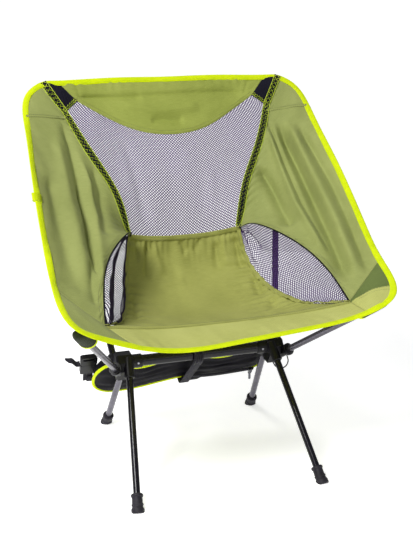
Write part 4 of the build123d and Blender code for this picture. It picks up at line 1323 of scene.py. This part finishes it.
def build_bag_flap():
    """The slack end of the bag's mouth, which droops below its front edge beside the strap."""
    rows, columns = 16, 40
    grid = np.zeros((rows, columns, 3))
    for row, down in enumerate(np.linspace(0, 1, rows)):
        for column, along in enumerate(np.linspace(0, 1, columns)):
            x = 0.002 + 0.044 * along
            fall = 0.019 * max(0.0, math.sin(math.pi * along ** 0.8)) ** 0.7
            y = -BAG_HEIGHT / 2 + 0.004 - down * (0.004 + fall)
            bow = 0.0050 * math.sin(math.pi * down) * math.sin(math.pi * along)
            ripple = 0.0012 * math.sin(along * 9 + down * 3) * down
            grid[row, column] = on_bag(x, bag_sag(x, y), 0.0060 - 0.3 * bow + ripple + 0.006 * down * down)
    piece = put(cloth_piece("bag_mouth_flap", grid, BAG_CLOTH, 0.0012), "bag_fabric", "bag")
    lower = grid[-1]
    tangents = unit(np.gradient(lower, axis=0))
    sideways = unit(np.cross(tangents, np.tile(-bag_back, (columns, 1))))
    edge = swept("bag_mouth_edge", lower, sideways, unit(np.cross(sideways, tangents)),
                 flat_profile(-0.0024, 0.0024, 0.0022), BLACK_TAPE)
    put(edge, "bag_fabric", "bag")


def hull_path(circles, count):
    """The outline of a belt pulled tight round circles of (y, z, radius), as evenly spaced (y, z) points."""
    turn = np.linspace(0, 2 * math.pi, 180, endpoint=False)
    points = sorted((y + r * math.cos(a), z + r * math.sin(a)) for y, z, r in circles for a in turn)

    def chain(ordered):
        kept = []
        for point in ordered:
            while len(kept) > 1:
                (ay, az), (by, bz) = kept[-2], kept[-1]
                if (by - ay) * (point[1] - az) - (bz - az) * (point[0] - ay) > 0:
                    break
                kept.pop()
            kept.append(point)
        return kept[:-1]

    loop = chain(points) + chain(points[::-1])
    return even(np.array([(0.0, y, z) for y, z in loop + loop[:1]]), count + 1)[:-1]


def build_strap():
    """The webbing that hangs the bag: once round the crossbar and the bag, with its sewn overlap."""
    clear = 0.0038 + STRAP_THICK / 2      # off the bar and off the bag's loose cloth
    corner = 0.010
    circles = [(HUB_Y, BAR_HEIGHT, BAR_RADIUS + clear)]
    for height in (corner - BAG_HEIGHT / 2, BAG_HEIGHT / 2 - corner):
        for depth in (corner, BAG_THICK - corner):
            middle = on_bag(STRAP_ON_BAG, height, depth)
            circles.append((middle[1], middle[2], corner + clear))
    loop = hull_path(circles, 220)
    loop[:, 0] = STRAP_X
    sideways = np.tile((1.0, 0.0, 0.0), (len(loop), 1))
    outward = ring_outward(loop, sideways)
    wobble = np.array([noisy(i / 22.0, 4.5, 0.5) for i in range(len(loop))])
    loop[:, 0] += 0.0016 * wobble
    loop += outward * (0.0009 * np.abs(wobble))[:, None]
    half = STRAP_WIDTH / 2
    section = flat_profile(-half, half, STRAP_THICK)
    strap = swept("bag_strap_webbing", loop, sideways, outward, section, WEBBING, closed=True)
    put(strap, "webbing", "bag", "bag_strap")
    front = int(np.argmin(loop[:, 1] + 0.6 * loop[:, 2]))
    picked = np.arange(front - 14, front + 15) % len(loop)
    line, up = loop[picked], outward[picked]
    patch = swept("bag_strap_overlap", line + up * STRAP_THICK, sideways[picked], up,
                  flat_profile(-half + 0.0006, half - 0.0006, STRAP_THICK), WEBBING)
    put(patch, "webbing", "bag")
    line = line + up * (STRAP_THICK * 1.5)
    runs = []
    for across in (-0.0072, -0.0066, 0.0066, 0.0072):
        runs += stitch_runs(line[2:-2] + np.array([across, 0, 0]), up[2:-2], 0.0005, 0.0022, 0.0008)
    for turned in (1, -1):
        slant = np.linspace(-0.0066, 0.0066, len(line) - 6)[:, None] * np.array([[turned, 0, 0]])
        runs += stitch_runs(line[3:-3] + slant, up[3:-3], 0.0005, 0.0022, 0.0008)
    sewn("bag_strap_stitches", runs, 0.0003, BLACK_THREAD, "webbing", "bag", sides=4)


def ribbon(name, points, side, width, thickness, taper=None):
    """Webbing along a smooth route, kept square to one direction. It narrows from taper to its end."""
    line = smooth(np.array(points), step=0.002)
    tangents = unit(np.gradient(line, axis=0))
    normal = unit(np.cross(tangents, np.tile(unit(np.asarray(side, float)), (len(line), 1))))
    across = unit(np.cross(normal, tangents))
    section = flat_profile(-width / 2, width / 2, thickness)
    piece = swept(name, line, across, normal, section, WEBBING)
    if taper:
        for i, share in enumerate(np.linspace(0, 1, len(line))):
            size = 1.0 if share < taper else max(0.12, math.sqrt(1 - (share - taper) / (1.001 - taper)))
            for vertex in piece.data.vertices[i * len(section):(i + 1) * len(section)]:
                offset = np.array(vertex.co) - line[i]
                sideways = (offset @ across[i]) * across[i]
                vertex.co = Vector(line[i] + sideways * size + (offset - sideways))
    return piece


def build_web_and_tail():
    """The web sewn behind the bag's left end, which holds the buckle, and the loose tail of the strap."""
    buckle_x = -BAG_LENGTH / 2 - 0.007
    depth = BAG_THICK + 0.0014
    web_route = [on_bag(buckle_x + x, y, depth + behind) for x, y, behind in
                 ((0.080, -0.046, -0.001), (0.050, -0.045, 0), (0.022, -0.044, 0), (-0.002, -0.043, 0.0005))]
    put(ribbon("bag_web_strap", web_route, bag_up, WEB_WIDTH, STRAP_THICK), "webbing", "bag", "bag_web")
    riser_route = [on_bag(buckle_x, y, depth + behind) for y, behind in
                   ((-0.050, 0.0018), (-0.038, 0.0020), (-0.022, 0.0040), (-0.016, 0.0060))]
    put(ribbon("bag_web_riser", riser_route, (1, 0, 0), WEB_WIDTH, STRAP_THICK), "webbing", "bag")
    low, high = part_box("strap_tail")
    start = np.array((high.x, (low.y + high.y) / 2, low.z + 0.003))
    end = np.array((low.x, high.y - 0.002, high.z))
    tail_route = [start, start + (-0.007, 0.001, -0.0012), start + (-0.015, 0.001, 0.0062),
                  end + (0.007, 0, -0.0042), end]
    tail = ribbon("strap_tail_webbing", tail_route, bag_back, 0.0130, 0.0022, taper=0.62)
    put(tail, "webbing", "buckle_half", "strap_tail")


def build_zip():
    """The bag's zip: its tape, and two rows of teeth that close on each other along its front."""
    line_y = -BAG_HEIGHT / 2 + 0.013
    line = np.array([on_bag(x, bag_sag(x, line_y), 0.0024) for x in np.linspace(0.006, 0.158, 60)])
    normals = np.tile(-bag_back, (len(line), 1))
    sideways = unit(np.cross(unit(np.gradient(line, axis=0)), normals))
    tape = swept("zip_tape", line, sideways, normals, flat_profile(-0.0055, 0.0055, 0.0009), BLACK_TAPE)
    put(tape, "bag_fabric", "bag")
    along = lengths(line)
    pitch = 0.0022
    half_tooth = bag_up * 0.0013
    runs = []
    for k in range(int(along[-1] / pitch) - 1):
        middle = sampled(line, along, (k + 0.5) * pitch) - bag_back * 0.0008
        middle = middle + bag_up * (0.0012 if k % 2 else -0.0012)
        runs.append([middle - half_tooth, middle - bag_back * 0.0004, middle + half_tooth])
    sewn("zip_teeth", runs, 0.0007, ZIP_METAL, "zip_metal", "bag")


build_bag_pouch()
build_bag_piping()
build_bag_flap()
build_strap()
build_web_and_tail()
build_zip()


# ---------------------------------------------------------------- the loop of elastic cord under a hub
def build_cord_loop():
    data = bpy.data.curves.new("cord_loop_line", "CURVE")
    data.dimensions = "3D"
    route = placed(LOOP_ROUTE)
    spline = data.splines.new("NURBS")
    spline.points.add(len(route) - 1)
    for point, spot in zip(spline.points, route):
        point.co = (*spot, 1)
    spline.order_u = 3
    spline.use_endpoint_u = True
    spline.resolution_u = 10
    data.bevel_depth = LOOP_DIAMETER / 2
    data.bevel_resolution = 4
    data.use_fill_caps = True
    data.materials.append(CORD_JACKET)
    loop = bpy.data.objects.new("cord_loop_elastic", data)
    bpy.context.scene.collection.objects.link(loop)
    put(loop, "shock_cord", "frame", "cord_loop")


build_cord_loop()

# ---------------------------------------------------------------- the frame keeps its CAD shapes
FRAME_FINISHES = {"crossbar": TUBE, "hub_pins": STEEL, "buckle_socket": BUCKLE, "buckle_clip": BUCKLE,
                  "zip_slider": ZIP_METAL, "zip_pull": ZIP_METAL}
for side in SIDES:
    FRAME_FINISHES.update({
        f"hub_{side}": HUB, f"socket_rings_{side}": HUB, f"shock_cords_{side}": CORD_JACKET,
        f"front_leg_{side}": TUBE, f"rear_leg_{side}": TUBE_PAINTED_REFLECTION, f"seat_pole_{side}": TUBE_PAINTED_REFLECTION,
        f"back_pole_lower_{side}": TUBE, f"back_pole_upper_{side}": TUBE,
        f"back_pole_ferrule_{side}": ALUMINIUM,
        f"front_leg_boot_{side}": RUBBER, f"rear_leg_boot_{side}": RUBBER,
        f"seat_pole_cap_{side}": HUB, f"back_pole_cap_{side}": HUB})
for node, material in FRAME_FINISHES.items():
    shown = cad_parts[node]
    shown.data.materials.clear()
    shown.data.materials.append(material)

# ---------------------------------------------------------------- stage, light and camera
FLOOR_RADIUS = 1.4
paper = Finish("paper_floor", Roughness=0.9, Emission_Color=(1.0, 1.0, 1.0, 1.0), Emission_Strength=0.60)
paper.colour(paper.noise(paper.object_place(), 1.5, 2.0),
             (0.3, (0.93, 0.93, 0.93, 1)), (0.7, (0.96, 0.96, 0.96, 1)))
floor_edge = [(FLOOR_RADIUS * math.cos(a), FLOOR_RADIUS * math.sin(a), 0)
              for a in np.linspace(0, 2 * math.pi, 96, endpoint=False)]
mesh_object("floor", floor_edge, [tuple(range(len(floor_edge)))], paper.material)

world = bpy.data.worlds.new("studio")
bpy.context.scene.world = world
world.use_nodes = True
sky, wires = world.node_tree.nodes, world.node_tree.links
ambient = sky["Background"]
ambient.inputs["Color"].default_value = (0.94, 0.96, 1.0, 1)
ambient.inputs["Strength"].default_value = 0.24
backdrop = sky.new("ShaderNodeBackground")
backdrop.inputs["Color"].default_value = (1.0, 1.0, 1.0, 1)
backdrop.inputs["Strength"].default_value = 1.05
chooser = sky.new("ShaderNodeMixShader")
wires.new(sky.new("ShaderNodeLightPath").outputs["Is Camera Ray"], chooser.inputs["Fac"])
wires.new(ambient.outputs["Background"], chooser.inputs[1])
wires.new(backdrop.outputs["Background"], chooser.inputs[2])
wires.new(chooser.outputs["Shader"], sky["World Output"].inputs["Surface"])


def soft_light(name, location, aim, size, power):
    data = bpy.data.lights.new(name, "AREA")
    data.shape = "DISK"
    data.size = size
    data.energy = power
    light = bpy.data.objects.new(name, data)
    bpy.context.scene.collection.objects.link(light)
    light.location = location
    light.rotation_mode = "QUATERNION"
    light.rotation_quaternion = (Vector(aim) - Vector(location)).to_track_quat("-Z", "Y")


soft_light("key", (-1.6, -1.2, 2.5), (0, 0, 0.4), 1.1, 68)
soft_light("fill", (0.8, -2.8, 1.2), (0, 0, 0.4), 1.6, 5)
soft_light("rim", (-1.0, 2.4, 2.2), (0, 0, 0.5), 1.2, 30)

CAMERA_TURN = -0.30095
CAMERA_RISE = 0.31206
CAMERA_ROLL = 0.00512
CAMERA_DISTANCE = 1.84413
CAMERA_LENS = 62.89
CAMERA_AIM = Vector((0.01262, HUB_Y, 0.35928))
camera_data = bpy.data.cameras.new("camera")
camera_data.sensor_fit = "AUTO"
camera_data.sensor_width = 36.0
camera_data.lens = CAMERA_LENS
camera = bpy.data.objects.new("camera", camera_data)
bpy.context.scene.collection.objects.link(camera)
back = Vector((math.sin(CAMERA_TURN) * math.cos(CAMERA_RISE), -math.cos(CAMERA_TURN) * math.cos(CAMERA_RISE),
               math.sin(CAMERA_RISE)))
right = (-back).cross(Vector((0, 0, 1))).normalized()
up = right.cross(-back)
rolled = right * math.cos(CAMERA_ROLL) + up * math.sin(CAMERA_ROLL)
rolled_up = up * math.cos(CAMERA_ROLL) - right * math.sin(CAMERA_ROLL)
camera.matrix_world = Matrix((rolled, rolled_up, back)).transposed().to_4x4()
camera.location = CAMERA_AIM + back * CAMERA_DISTANCE
bpy.context.scene.camera = camera
bpy.context.scene.view_settings.view_transform = "Standard"
